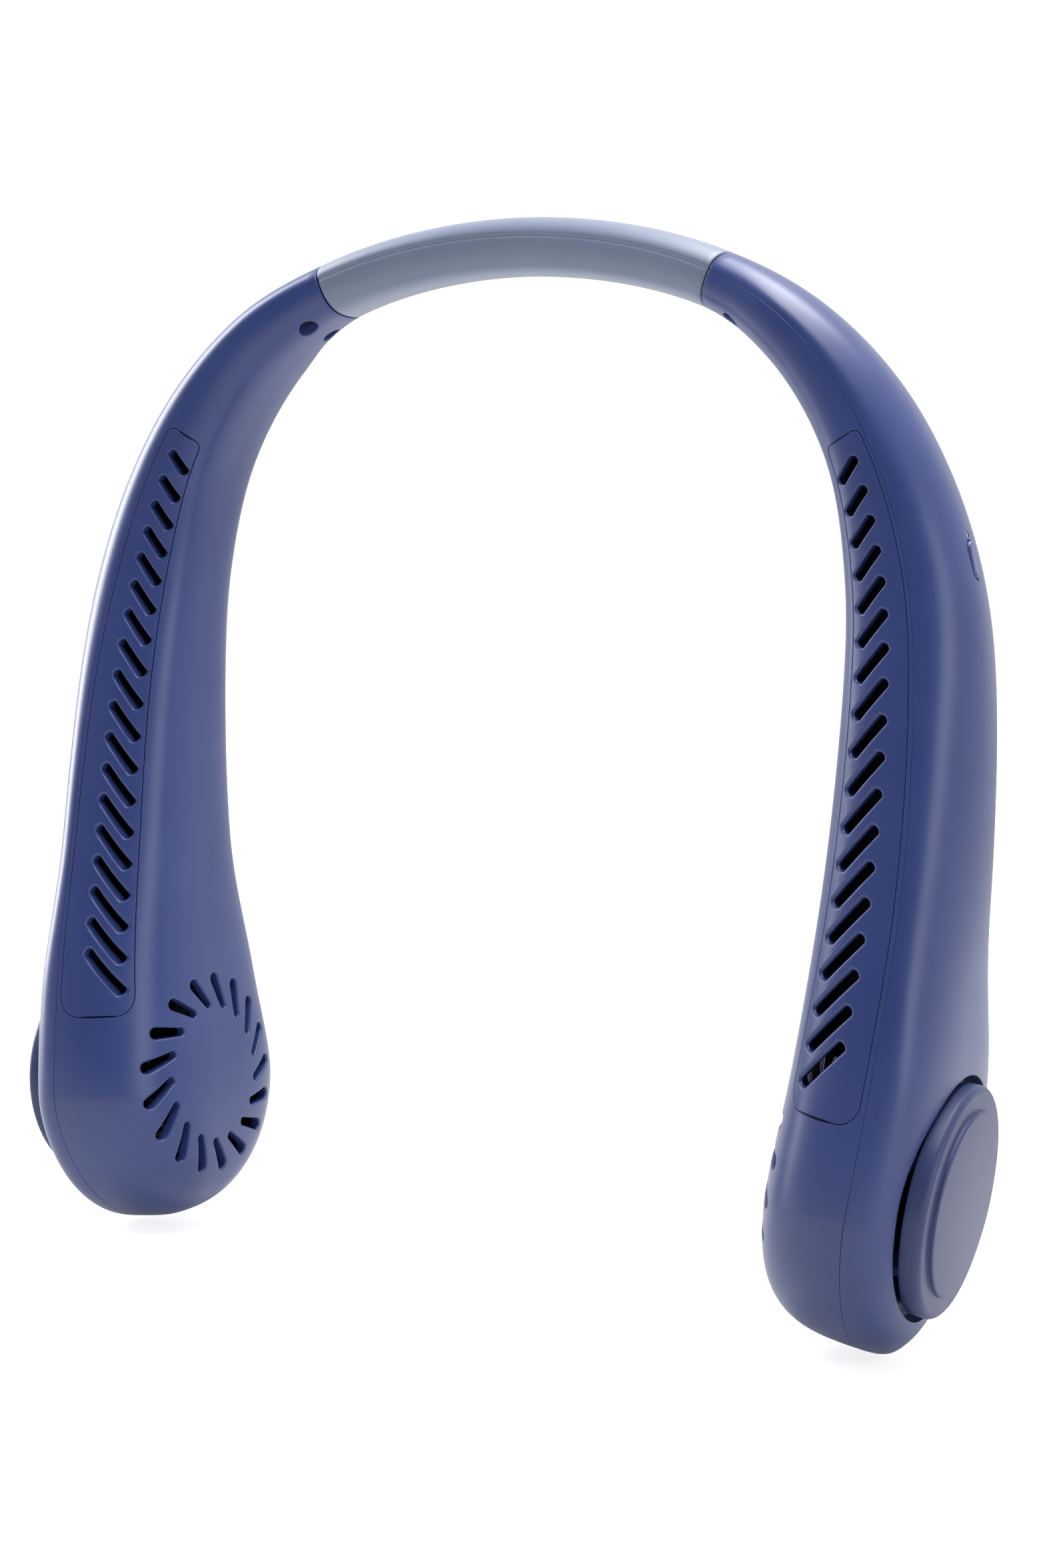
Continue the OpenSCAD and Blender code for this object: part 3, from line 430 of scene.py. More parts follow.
@dataclass
class Bow:
    """The seam's path and the section that grows along it."""

    seam_len: float = 251.0
    mouth_s: float = 42.3
    foot_len: float = 29.0
    fan_to_foot: float = 30.0
    crown: Tuple[float, float, float, float] = (6.6, 4.2, 6.4, 6.8)
    bulb: Tuple[float, float, float, float] = (20.9, 10.0, 27.4, 28.8)
    width_blunt: float = 1.75
    depth_blunt: float = 3.2
    steps: int = 2510
    coarse_every: int = 20
    chunk: int = 20000
    turn: ShareCurve = field(default_factory=lambda: ShareCurve([
        (0, 0), (.15, 19), (.29, 50.5), (.41, 71), (.52, 84), (.67, 91), (.8, 95), (.89, 96.5),
        (1, 98)]))
    growth: Tuple[ShareCurve, ...] = field(default_factory=lambda: (
        ShareCurve([(0, 0), (.16, 0), (.24, .1), (.34, .25), (.44, .5), (.56, .7), (.68, .83),
                    (.8, .92), (.9, 1), (1, 1)]),
        ShareCurve([(0, 0), (.16, 0), (.24, .16), (.34, .5), (.5, .84), (.62, .76), (.72, .74),
                    (.82, .96), (.9, 1), (1, 1)]),
        ShareCurve([(0, 0), (.16, .05), (.24, .18), (.34, .22), (.44, .26), (.56, .43), (.68, .61),
                    (.8, .87), (.9, 1), (1, 1)]),
        ShareCurve([(0, 0), (.06, .03), (.16, .08), (.21, .16), (.25, .29), (.34, .36), (.44, .39),
                    (.56, .47), (.68, .57), (.8, .87), (.9, 1), (1, 1)])))
    front_square: ShareCurve = field(default_factory=lambda: ShareCurve([
        (0, 2.6), (.16, 2.6), (.3, 2.9), (.5, 3), (.68, 2.9), (.85, 2.6), (1, 2.6)]))
    rear_square: ShareCurve = field(default_factory=lambda: ShareCurve([
        (0, 2.6), (.16, 2.6), (.3, 2.7), (.5, 2.8), (.7, 3), (.82, 3.6), (.88, 4), (1, 4)]))
    outer_square: ShareCurve = field(default_factory=lambda: ShareCurve([
        (0, 2), (.68, 2), (.82, 2.75), (1, 2.75)]))

    def __post_init__(self) -> None:
        """Walks the seam once, in steps of a tenth of a millimetre."""
        steps = self.steps
        step = self.seam_len / steps
        middle = self.heading((np.arange(steps) + 0.5) * step)
        self.nodes = np.arange(steps + 1) * step
        self.node_x = np.concatenate([[0], np.cumsum(np.cos(middle)) * step])
        self.node_z = self.crown[0] - np.concatenate([[0], np.cumsum(np.sin(middle)) * step])

    @property
    def foot_s(self) -> float:
        """Seam length where the foot starts to round off."""
        return self.seam_len - self.foot_len

    @property
    def fan_s(self) -> float:
        """Seam length of the fan's axis."""
        return self.seam_len - self.fan_to_foot

    def heading(self, s: np.ndarray) -> np.ndarray:
        """Direction of the seam below the horizontal, in radians."""
        s = np.asarray(s, float)
        return np.sign(s) * np.radians(self.turn(np.abs(s) / self.seam_len))

    def seam(self, s: np.ndarray) -> Tuple[np.ndarray, np.ndarray]:
        """X and Z of the seam at a seam length.

        Args:
            s: seam lengths.

        Returns:
            The two coordinates.
        """
        s = np.asarray(s, float)
        reach = np.abs(s)
        return (np.sign(s) * np.interp(reach, self.nodes, self.node_x),
                np.interp(reach, self.nodes, self.node_z))

    def at(self, s: np.ndarray, u: np.ndarray, v: np.ndarray) -> np.ndarray:
        """Points in space.

        Args:
            s: seam lengths.
            u: distances outwards from the seam.
            v: distances towards the back.

        Returns:
            One row of X, Y and Z for each.
        """
        s, u, v = np.broadcast_arrays(np.asarray(s, float), np.asarray(u, float), np.asarray(v, float))
        x, z = self.seam(s)
        h = self.heading(s)
        return np.stack([x + u * np.sin(h), v, z + u * np.cos(h)], -1)

    def sizes(self, s: np.ndarray, cut: float = 0.0) -> Tuple[np.ndarray, ...]:
        """Half sizes of the section: in, out, front and rear.

        Args:
            s: seam lengths.
            cut: how far the section is drawn in.

        Returns:
            The four sizes.
        """
        share = np.abs(np.asarray(s, float)) / self.seam_len
        place = np.clip((np.abs(s) - self.foot_s) / (self.foot_len - np.minimum(cut, 5)), 0, 1)
        out = []
        for k in range(4):
            blunt = self.depth_blunt if k < 2 else self.width_blunt
            grown = self.crown[k] + (self.bulb[k] - self.crown[k]) * self.growth[k](share)
            out.append((grown - cut) * bulge(place, blunt))
        return tuple(out)

    def exponent(self, half: Half, s: np.ndarray, v: np.ndarray) -> np.ndarray:
        """Squareness of the section at a seam length, in front of or behind the seam.

        Args:
            half: which half.
            s: seam lengths.
            v: distances back.

        Returns:
            The exponent of the section's curve.
        """
        share = np.abs(np.asarray(s, float)) / self.seam_len
        if half is Half.OUTER:
            return np.broadcast_to(self.outer_square(share), np.broadcast(s, v).shape)
        return np.where(np.asarray(v) < 0, self.front_square(share), self.rear_square(share))

    def powers(self, half: Half, s: float) -> List[float]:
        """Squareness of half a section in front of the seam and behind it."""
        return [float(self.exponent(half, np.array(s), np.array(v))) for v in (-1.0, 1.0)]

    def stretch(self, s: np.ndarray, u: np.ndarray) -> np.ndarray:
        """Length of a path at distance u outwards, for each millimetre of the seam.

        Args:
            s: seam lengths.
            u: distances outwards.

        Returns:
            The lengths, kept above a least value.
        """
        ahead, behind = self.heading(s + BEND_STEP), self.heading(np.maximum(s - BEND_STEP, 0))
        bend = (ahead - behind) / (2 * BEND_STEP)
        return np.maximum(1 + u * bend, LEAST_STRETCH)

    def value(self, half: Half, s: np.ndarray, u: np.ndarray, v: np.ndarray) -> np.ndarray:
        """Is 1 on the skin, less inside it and more outside.

        Args:
            half: which half.
            s: seam lengths.
            u: distances outwards.
            v: distances back.

        Returns:
            The values.
        """
        inwards, outwards, front, rear = self.sizes(s)
        depth = inwards if half is Half.NECK else outwards
        width = np.where(v < 0, front, rear)
        p = self.exponent(half, s, v)
        return (np.abs(u) / np.maximum(depth, 1e-6)) ** p + (np.abs(v) / np.maximum(width, 1e-6)) ** p

    def locate(self, points: np.ndarray) -> Triple:
        """Finds seam length, u and v of points on the right arm.

        Args:
            points: rows of X, Y and Z.

        Returns:
            Seam lengths, distances outwards and distances back.
        """
        coarse = self.nodes[::self.coarse_every]
        cx, cz = self.seam(coarse)
        s = np.empty(len(points))
        for start in range(0, len(points), self.chunk):
            part = points[start:start + self.chunk]
            far = (part[:, 0, None] - cx) ** 2 + (part[:, 2, None] - cz) ** 2
            s[start:start + self.chunk] = coarse[np.argmin(far, 1)]

        def local(s: np.ndarray) -> Tuple[np.ndarray, np.ndarray]:
            """Distances along and outwards, from the seam's points at s.

            Args:
                s: seam lengths.

            Returns:
                Both distances.
            """
            x, z = self.seam(s)
            h = self.heading(s)
            right, up = points[:, 0] - x, points[:, 2] - z
            return right * np.cos(h) - up * np.sin(h), right * np.sin(h) + up * np.cos(h)

        for _ in range(4):
            along, u = local(s)
            s = np.clip(s + along / self.stretch(s, u), 0, self.seam_len)
        return s, local(s)[1], points[:, 1]

    def skin_normal(self, half: Half, s: np.ndarray, u: np.ndarray, v: np.ndarray
                    ) -> Tuple[np.ndarray, np.ndarray]:
        """Outward direction of the skin, and the distance from it.

        Args:
            half: which half's skin.
            s: seam lengths.
            u: distances outwards.
            v: distances back.

        Returns:
            Unit normals, and distances outside the skin in millimetres.
        """
        e = SLOPE_STEP
        fs = (self.value(half, s + e, u, v) - self.value(half, s - e, u, v)) / (2 * e)
        fu = (self.value(half, s, u + e, v) - self.value(half, s, u - e, v)) / (2 * e)
        fv = (self.value(half, s, u, v + e) - self.value(half, s, u, v - e)) / (2 * e)
        h = self.heading(s)
        fs = fs / self.stretch(s, u)
        n = np.stack([fs * np.cos(h) + fu * np.sin(h), fv, -fs * np.sin(h) + fu * np.cos(h)], -1)
        size = np.maximum(np.linalg.norm(n, axis=-1), 1e-9)
        return n / size[..., None], (self.value(half, s, u, v) - 1) / size

    def below_skin(self, half: Half, place: Triple, depth: float) -> np.ndarray:
        """Points below the skin by a depth, straight along its normal."""
        normal, _ = self.skin_normal(half, *place)
        return self.at(*place) - depth * normal

    def skin_u(self, half: Half, s: np.ndarray, v: np.ndarray) -> np.ndarray:
        """Depth of the skin at a seam length and a distance back.

        Args:
            half: which half.
            s: seam lengths.
            v: distances back.

        Returns:
            Distances outwards, below 0 on the neck side.
        """
        inwards, outwards, front, rear = self.sizes(s)
        p = self.exponent(half, s, v)
        share = np.clip(np.abs(v) / np.where(v < 0, front, rear), 0, 1)
        depth = inwards if half is Half.NECK else outwards
        return half.value * depth * bulge(share, p)

    def frame_at(self, s: float) -> Triple:
        """Local frame at a seam length.

        Args:
            s: the seam length.

        Returns:
            The seam's point, the outward direction and the direction up the arm.
        """
        x, z = self.seam(s)
        h = float(self.heading(s))
        return (np.array([float(x), 0, float(z)]), np.array([math.sin(h), 0, math.cos(h)]),
                np.array([-math.cos(h), 0, math.sin(h)]))

    def in_frame(self, s: float, depth: np.ndarray, back: np.ndarray, up: np.ndarray) -> np.ndarray:
        """Puts points of the local frame at a seam length in space.

        Args:
            s: the seam length.
            depth: distances outwards.
            back: distances back.
            up: distances up the arm.

        Returns:
            Rows of X, Y and Z.
        """
        origin, out, rise = self.frame_at(s)
        depth, back, up = np.broadcast_arrays(depth, back, up)
        points = origin + depth[:, None] * out + up[:, None] * rise
        points[:, 1] = back
        return points

    def onto_side(self, half: Half, s: float, back: np.ndarray, up: np.ndarray) -> Triple:
        """Drops points of a local frame outwards or inwards onto the skin.

        Args:
            half: which half's skin.
            s: seam length of the local frame.
            back: distances back in that frame.
            up: distances up the arm in that frame.

        Returns:
            Seam lengths, u and v of the points on the skin.
        """
        depth = np.full(len(back), float(self.skin_u(half, np.array(s), np.array(0.0))))
        for _ in range(6):
            place, u, v = self.locate(self.in_frame(s, depth, back, up))
            depth = depth + self.skin_u(half, place, v) - u
        return place, self.skin_u(half, place, v), v

    def onto_front(self, s: float, depth: np.ndarray, up: np.ndarray) -> Triple:
        """Drops points of a local frame backwards onto the front of the neck side.

        Args:
            s: seam length of the local frame.
            depth: distances outwards in that frame.
            up: distances up the arm in that frame.

        Returns:
            Seam lengths, u and v of the points on the skin.
        """
        place, u, _ = self.locate(self.in_frame(s, depth, 0, up))
        inwards, _, front, _ = self.sizes(place)
        p = self.exponent(Half.NECK, place, np.full(len(place), -1.0))
        return place, u, -front * bulge(np.clip(np.abs(u) / inwards, 0, 1), p)


# Finishes


def new_tree(name: str, kind: str, inputs: Dict[str, str], outputs: Dict[str, str]
             ) -> bpy.types.NodeTree:
    """Makes an empty node tree with named sockets.

    Args:
        name: the tree's name.
        kind: ShaderNodeTree or GeometryNodeTree.
        inputs: the type of each input, by name.
        outputs: the type of each output, by name.

    Returns:
        The tree.
    """
    tree = bpy.data.node_groups.new(name, kind)
    for way, sockets in (("INPUT", inputs), ("OUTPUT", outputs)):
        for word, sort in sockets.items():
            tree.interface.new_socket(word, in_out=way, socket_type="NodeSocket" + sort)
    return tree


def maths(tree: bpy.types.NodeTree, operation: str, *values: Union[float, bpy.types.NodeSocket]
          ) -> bpy.types.NodeSocket:
    """Adds a Math node.

    Args:
        tree: the tree that it goes into.
        operation: what it does.
        values: a number, or a socket to link, for each input.

    Returns:
        Its output.
    """
    node = tree.nodes.new("ShaderNodeMath")
    node.operation = operation
    for socket, value in zip(node.inputs, values):
        if isinstance(value, bpy.types.NodeSocket):
            tree.links.new(value, socket)
        else:
            socket.default_value = value
    return node.outputs[0]


def surface_group() -> bpy.types.NodeTree:
    """Builds the shared surface effect once.

    Returns:
        A shader group that gives colour, roughness and height that change over the surface.
    """
    name = "moulded_surface"
    if name in bpy.data.node_groups:
        return bpy.data.node_groups[name]
    tree = new_tree(name, "ShaderNodeTree", {
        "Vector": "Vector", "Colour": "Color", "Other Colour": "Color", "Grain Scale": "Float",
        "Cloud Scale": "Float", "Streak Stretch": "Float", "Roughness": "Float",
        "Roughness Spread": "Float"}, {"Color": "Color", "Roughness": "Float", "Height": "Float"})
    node, link = tree.nodes.new, tree.links.new
    given, result = node("NodeGroupInput"), node("NodeGroupOutput")
    stretch, squeeze = node("ShaderNodeCombineXYZ"), node("ShaderNodeVectorMath")
    stretch.inputs[0].default_value = stretch.inputs[1].default_value = 1
    squeeze.operation = "MULTIPLY"
    link(given.outputs["Streak Stretch"], stretch.inputs[2])
    link(given.outputs["Vector"], squeeze.inputs[0])
    link(stretch.outputs[0], squeeze.inputs[1])

    def noise(scale: bpy.types.NodeSocket, detail: float) -> bpy.types.NodeSocket:
        """Adds a noise texture on the squeezed place.

        Args:
            scale: the socket that gives its scale.
            detail: how many finer layers it has.

        Returns:
            Its value.
        """
        texture = node("ShaderNodeTexNoise")
        link(squeeze.outputs[0], texture.inputs["Vector"])
        link(scale, texture.inputs["Scale"])
        texture.inputs["Detail"].default_value = detail
        return texture.outputs["Fac"]

    cloud_detail, grain_detail, pits_finer = 3.0, 2.0, 2.7
    cloud = noise(given.outputs["Cloud Scale"], cloud_detail)
    grain = noise(given.outputs["Grain Scale"], grain_detail)
    pits = noise(maths(tree, "MULTIPLY", given.outputs["Grain Scale"], pits_finer), grain_detail)
    mask, mix = node("ShaderNodeMapRange"), node("ShaderNodeMix")
    mask.inputs["From Min"].default_value, mask.inputs["From Max"].default_value = 0.3, 0.7
    mix.data_type = "RGBA"
    speck = maths(tree, "MULTIPLY_ADD", grain, 0.5, 0.75)
    link(cloud, mask.inputs["Value"])
    link(maths(tree, "MULTIPLY", mask.outputs["Result"], speck), mix.inputs["Factor"])
    link(given.outputs["Colour"], mix.inputs[6])
    link(given.outputs["Other Colour"], mix.inputs[7])
    link(mix.outputs[2], result.inputs["Color"])
    centred = maths(tree, "SUBTRACT", grain, 0.5)
    uneven = maths(tree, "MULTIPLY", centred, given.outputs["Roughness Spread"])
    rough = maths(tree, "ADD", uneven, given.outputs["Roughness"])
    rough.node.use_clamp = True
    link(rough, result.inputs["Roughness"])
    link(maths(tree, "ADD", grain, pits), result.inputs["Height"])
    return tree


@dataclass(frozen=True)
class Finish:
    """One finish: a pair of colours, a gloss and a grain."""

    name: str
    colour: Colour
    other: Colour
    roughness: float = 0.4
    spread: float = 0.12
    grain: float = 5200.0
    cloud: float = 60.0
    stretch: float = 1.0
    height: float = 0.008
    metallic: float = 0.0
    specular: float = 0.5
    coat: float = 0.0
    coat_roughness: float = 0.2
    sheen: float = 0.0
    clear: float = 0.0
    bump: float = 0.5

    def material(self) -> bpy.types.Material:
        """Builds the material on first use.

        Returns:
            The material with this finish.
        """
        found = bpy.data.materials.get(self.name)
        if found:
            return found
        made = bpy.data.materials.new(self.name)
        made.use_nodes = True
        node, link = made.node_tree.nodes.new, made.node_tree.links.new
        shader = made.node_tree.nodes["Principled BSDF"]
        place, surface, bump = (node(kind) for kind in (
            "ShaderNodeTexCoord", "ShaderNodeGroup", "ShaderNodeBump"))
        surface.node_tree = surface_group()
        for target, values in (
                (surface, {"Colour": (*self.colour, 1), "Other Colour": (*self.other, 1),
                           "Grain Scale": self.grain, "Cloud Scale": self.cloud,
                           "Streak Stretch": self.stretch, "Roughness": self.roughness,
                           "Roughness Spread": self.spread}),
                (bump, {"Strength": self.bump, "Distance": self.height * MM}),
                (shader, {"Metallic": self.metallic, "Specular IOR Level": self.specular,
                          "Coat Weight": self.coat, "Coat Roughness": self.coat_roughness,
                          "Sheen Weight": self.sheen, "Transmission Weight": self.clear})):
            for word, value in values.items():
                target.inputs[word].default_value = value
        link(place.outputs["Object"], surface.inputs["Vector"])
        link(surface.outputs["Color"], shader.inputs["Base Color"])
        link(surface.outputs["Roughness"], shader.inputs["Roughness"])
        link(surface.outputs["Height"], bump.inputs["Height"])
        link(bump.outputs["Normal"], shader.inputs["Normal"])
        return made


SHELL = Finish("navy_satin_shell", (.020, .035, .132), (.024, .042, .150), .36, specular=.4,
               coat=.08, coat_roughness=.25)
GRILLE = Finish("navy_satin_grille", (.019, .034, .132), (.023, .039, .144), .38, specular=.38,
                coat=.06, coat_roughness=.28)
CAP = Finish("navy_satin_cap", (.026, .036, .105), (.030, .041, .116), .42, specular=.26,
             coat=.04, coat_roughness=.3)
SLEEVE = Finish("slate_soft_sleeve", (.105, .135, .205), (.118, .150, .225), .42, spread=.1,
                grain=3600, cloud=45, height=.012, specular=.6, sheen=.1)
BUTTON = Finish("navy_satin_button", (.036, .056, .175), (.042, .062, .188), .34, specular=.5, coat=.1)
DARK = Finish("charcoal_nylon", (.012, .013, .017), (.018, .019, .024), .55, height=.02)
DUCT = Finish("black_duct_plastic", (.006, .007, .014), (.009, .010, .018), .6, height=.02)
FAN = Finish("graphite_impeller", (.010, .011, .016), (.014, .015, .021), .45)
SCREW = Finish("black_oxide_screw", (.018, .018, .020), (.030, .029, .030), .38, metallic=.8,
               grain=3000)
SPRING = Finish("blued_spring_steel", (.36, .38, .42), (.46, .47, .50), .3, metallic=1, stretch=.1)
MOTOR = Finish("zinc_motor_base", (.42, .43, .45), (.52, .53, .55), .38, metallic=1)
CAN = Finish("drawn_steel_can", (.50, .51, .53), (.58, .59, .61), .28, metallic=1, stretch=.2)
SHAFT = Finish("ground_steel_shaft", (.60, .61, .63), (.66, .67, .69), .18, metallic=1, stretch=.1)
MAGNET = Finish("black_magnet", (.030, .030, .032), (.045, .044, .046), .5, metallic=.3)
COPPER = Finish("enamelled_copper", (.62, .24, .10), (.70, .30, .13), .3, metallic=1, stretch=.15)
BRONZE = Finish("oiled_bronze", (.42, .26, .11), (.50, .31, .14), .4, metallic=1, cloud=300)
WRAP = Finish("cell_shrink_wrap", (.020, .110, .120), (.026, .130, .140), .3, cloud=120, coat=.4)
RED = Finish("red_wire_cover", (.42, .020, .016), (.50, .030, .022), .45)
YELLOW = Finish("dull_yellow_wire_cover", (.085, .060, .010), (.100, .070, .014), .5)
BOARD = Finish("green_board_mask", (.010, .120, .045), (.016, .170, .062), .3, cloud=700, coat=.5)
KEY = Finish("nickel_switch", (.50, .50, .48), (.60, .60, .57), .3, metallic=1, cloud=200)
PORT = Finish("stamped_port_steel", (.56, .57, .58), (.64, .65, .66), .24, metallic=1, cloud=200)
PIPE = Finish("clear_light_guide", (.72, .76, .82), (.80, .84, .90), .2, clear=.6)

SLOT_FINISH: Dict[str, Finish] = {
    "sleeve": SLEEVE, "spring_steel": SPRING, "wire_red": RED, "wire_yellow": YELLOW,
    "dark_plastic": DARK, "shell_inner": SHELL, "shell_outer": SHELL, "grille": GRILLE, "cap": CAP,
    "screw_steel": SCREW, "duct_plastic": DUCT, "cell_wrap": WRAP, "motor_metal": MOTOR,
    "copper": COPPER, "bronze": BRONZE, "impeller_dark": FAN, "can_steel": CAN, "magnet": MAGNET,
    "shaft_steel": SHAFT, "button": BUTTON, "board": BOARD, "switch_metal": KEY, "port_steel": PORT,
    "light_pipe": PIPE,
}


def finished(obj: bpy.types.Object, finish: Finish, body: str, sharp: float = 32.0
             ) -> bpy.types.Object:
    """Scales a piece to metres, smooths and dresses it, and rides it on its body.

    Args:
        obj: the piece, still in millimetres.
        finish: its finish.
        body: the body that it rides on, or an empty word for a piece that rides on none.
        sharp: edges above this angle stay sharp, in degrees.

    Returns:
        The same object.
    """
    obj.data.transform(Matrix.Scale(MM, 4))
    obj.data.materials.clear()
    obj.data.materials.append(finish.material())
    for face in obj.data.polygons:
        face.use_smooth = True
        face.material_index = 0
    obj.data.set_sharp_from_angle(angle=math.radians(sharp))
    if body:
        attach(obj, body)
    log.info("%s: %d faces", obj.name, len(obj.data.polygons))
    return obj


def keep_skin_smooth(obj: bpy.types.Object, bow: Bow, half: Half, side: Side) -> None:
    """Gives the points that lie on the skin the skin's own direction.

    Args:
        obj: a finished shell or strip, in metres.
        bow: the bow that it follows.
        half: which half's skin.
        side: which arm.
    """
    near_skin, off_mouth, off_foot, off_seam, least_facing = 0.04, 0.3, 0.6, 0.12, 0.8
    mesh = obj.data
    co = np.empty(len(mesh.vertices) * 3)
    mesh.vertices.foreach_get("co", co)
    s, u, v = bow.locate(co.reshape(-1, 3) / MM * side.flip)
    normal, away = bow.skin_normal(half, s, u, v)
    good = ((np.abs(away) < near_skin) & (np.abs(u) > off_seam)
            & (s > bow.mouth_s + off_mouth) & (s < bow.seam_len - off_foot))
    loops = np.empty(len(mesh.loops), int)
    mesh.loops.foreach_get("vertex_index", loops)
    sizes = np.empty(len(mesh.polygons), int)
    mesh.polygons.foreach_get("loop_total", sizes)
    flat = np.empty(len(mesh.polygons) * 3)
    mesh.polygons.foreach_get("normal", flat)
    face = np.repeat(flat.reshape(-1, 3), sizes, axis=0)
    wanted = (normal * side.flip)[loops]
    use = good[loops] & (np.sum(face * wanted, 1) > least_facing)
    wanted[~use] = 0
    mesh.normals_split_custom_set([tuple(n) for n in wanted])


# Repeated forms by Geometry Nodes


def round_tree() -> bpy.types.NodeTree:
    """Builds the tree that repeats a form round an axis.

    Returns:
        The tree, with named inputs for its sizes.
    """
    name = "repeat_round_axis"
    if name in bpy.data.node_groups:
        return bpy.data.node_groups[name]
    tree = new_tree(name, "GeometryNodeTree", {
        "Geometry": "Geometry", "Count": "Int", "Axis Turn": "Vector", "Axis Place": "Vector",
        "Finish": "Material"}, {"Geometry": "Geometry"})
    node, link = tree.nodes.new, tree.links.new
    given, result = node("NodeGroupInput"), node("NodeGroupOutput")
    points, index = node("GeometryNodePoints"), node("GeometryNodeInputIndex")
    spin, copies = node("ShaderNodeCombineXYZ"), node("GeometryNodeInstanceOnPoints")
    real, move, dress = (node("GeometryNodeRealizeInstances"), node("GeometryNodeTransform"),
                         node("GeometryNodeSetMaterial"))
    share = maths(tree, "DIVIDE", index.outputs[0], given.outputs["Count"])
    link(maths(tree, "MULTIPLY", share, 2 * math.pi), spin.inputs[2])
    link(given.outputs["Count"], points.inputs["Count"])
    link(points.outputs[0], copies.inputs["Points"])
    link(given.outputs["Geometry"], copies.inputs["Instance"])
    link(spin.outputs[0], copies.inputs["Rotation"])
    link(copies.outputs[0], real.inputs[0])
    link(real.outputs[0], move.inputs["Geometry"])
    link(given.outputs["Axis Place"], move.inputs["Translation"])
    link(given.outputs["Axis Turn"], move.inputs["Rotation"])
    link(move.outputs[0], dress.inputs["Geometry"])
    link(given.outputs["Finish"], dress.inputs["Material"])
    link(dress.outputs[0], result.inputs[0])
    return tree


def repeated(obj: bpy.types.Object, count: int, finish: Finish, place: Matrix
             ) -> bpy.types.Object:
    """Repeats an object's mesh round its Z axis and makes the result a plain mesh.

    Args:
        obj: the object with one form, drawn about the Z axis.
        count: how many forms.
        finish: the finish that the tree sets.
        place: where the axis frame stands.

    Returns:
        The same object with all the forms in its mesh.
    """
    tree = round_tree()
    step = obj.modifiers.new("repeat", "NODES")
    step.node_group = tree
    inputs = {item.name: item.identifier for item in tree.interface.items_tree
              if item.item_type == "SOCKET" and item.in_out == "INPUT"}
    step[inputs["Count"]] = count
    step[inputs["Axis Turn"]] = tuple(place.to_euler())
    step[inputs["Axis Place"]] = tuple(place.translation)
    step[inputs["Finish"]] = finish.material()
    return settled(obj)


# Moulded arms


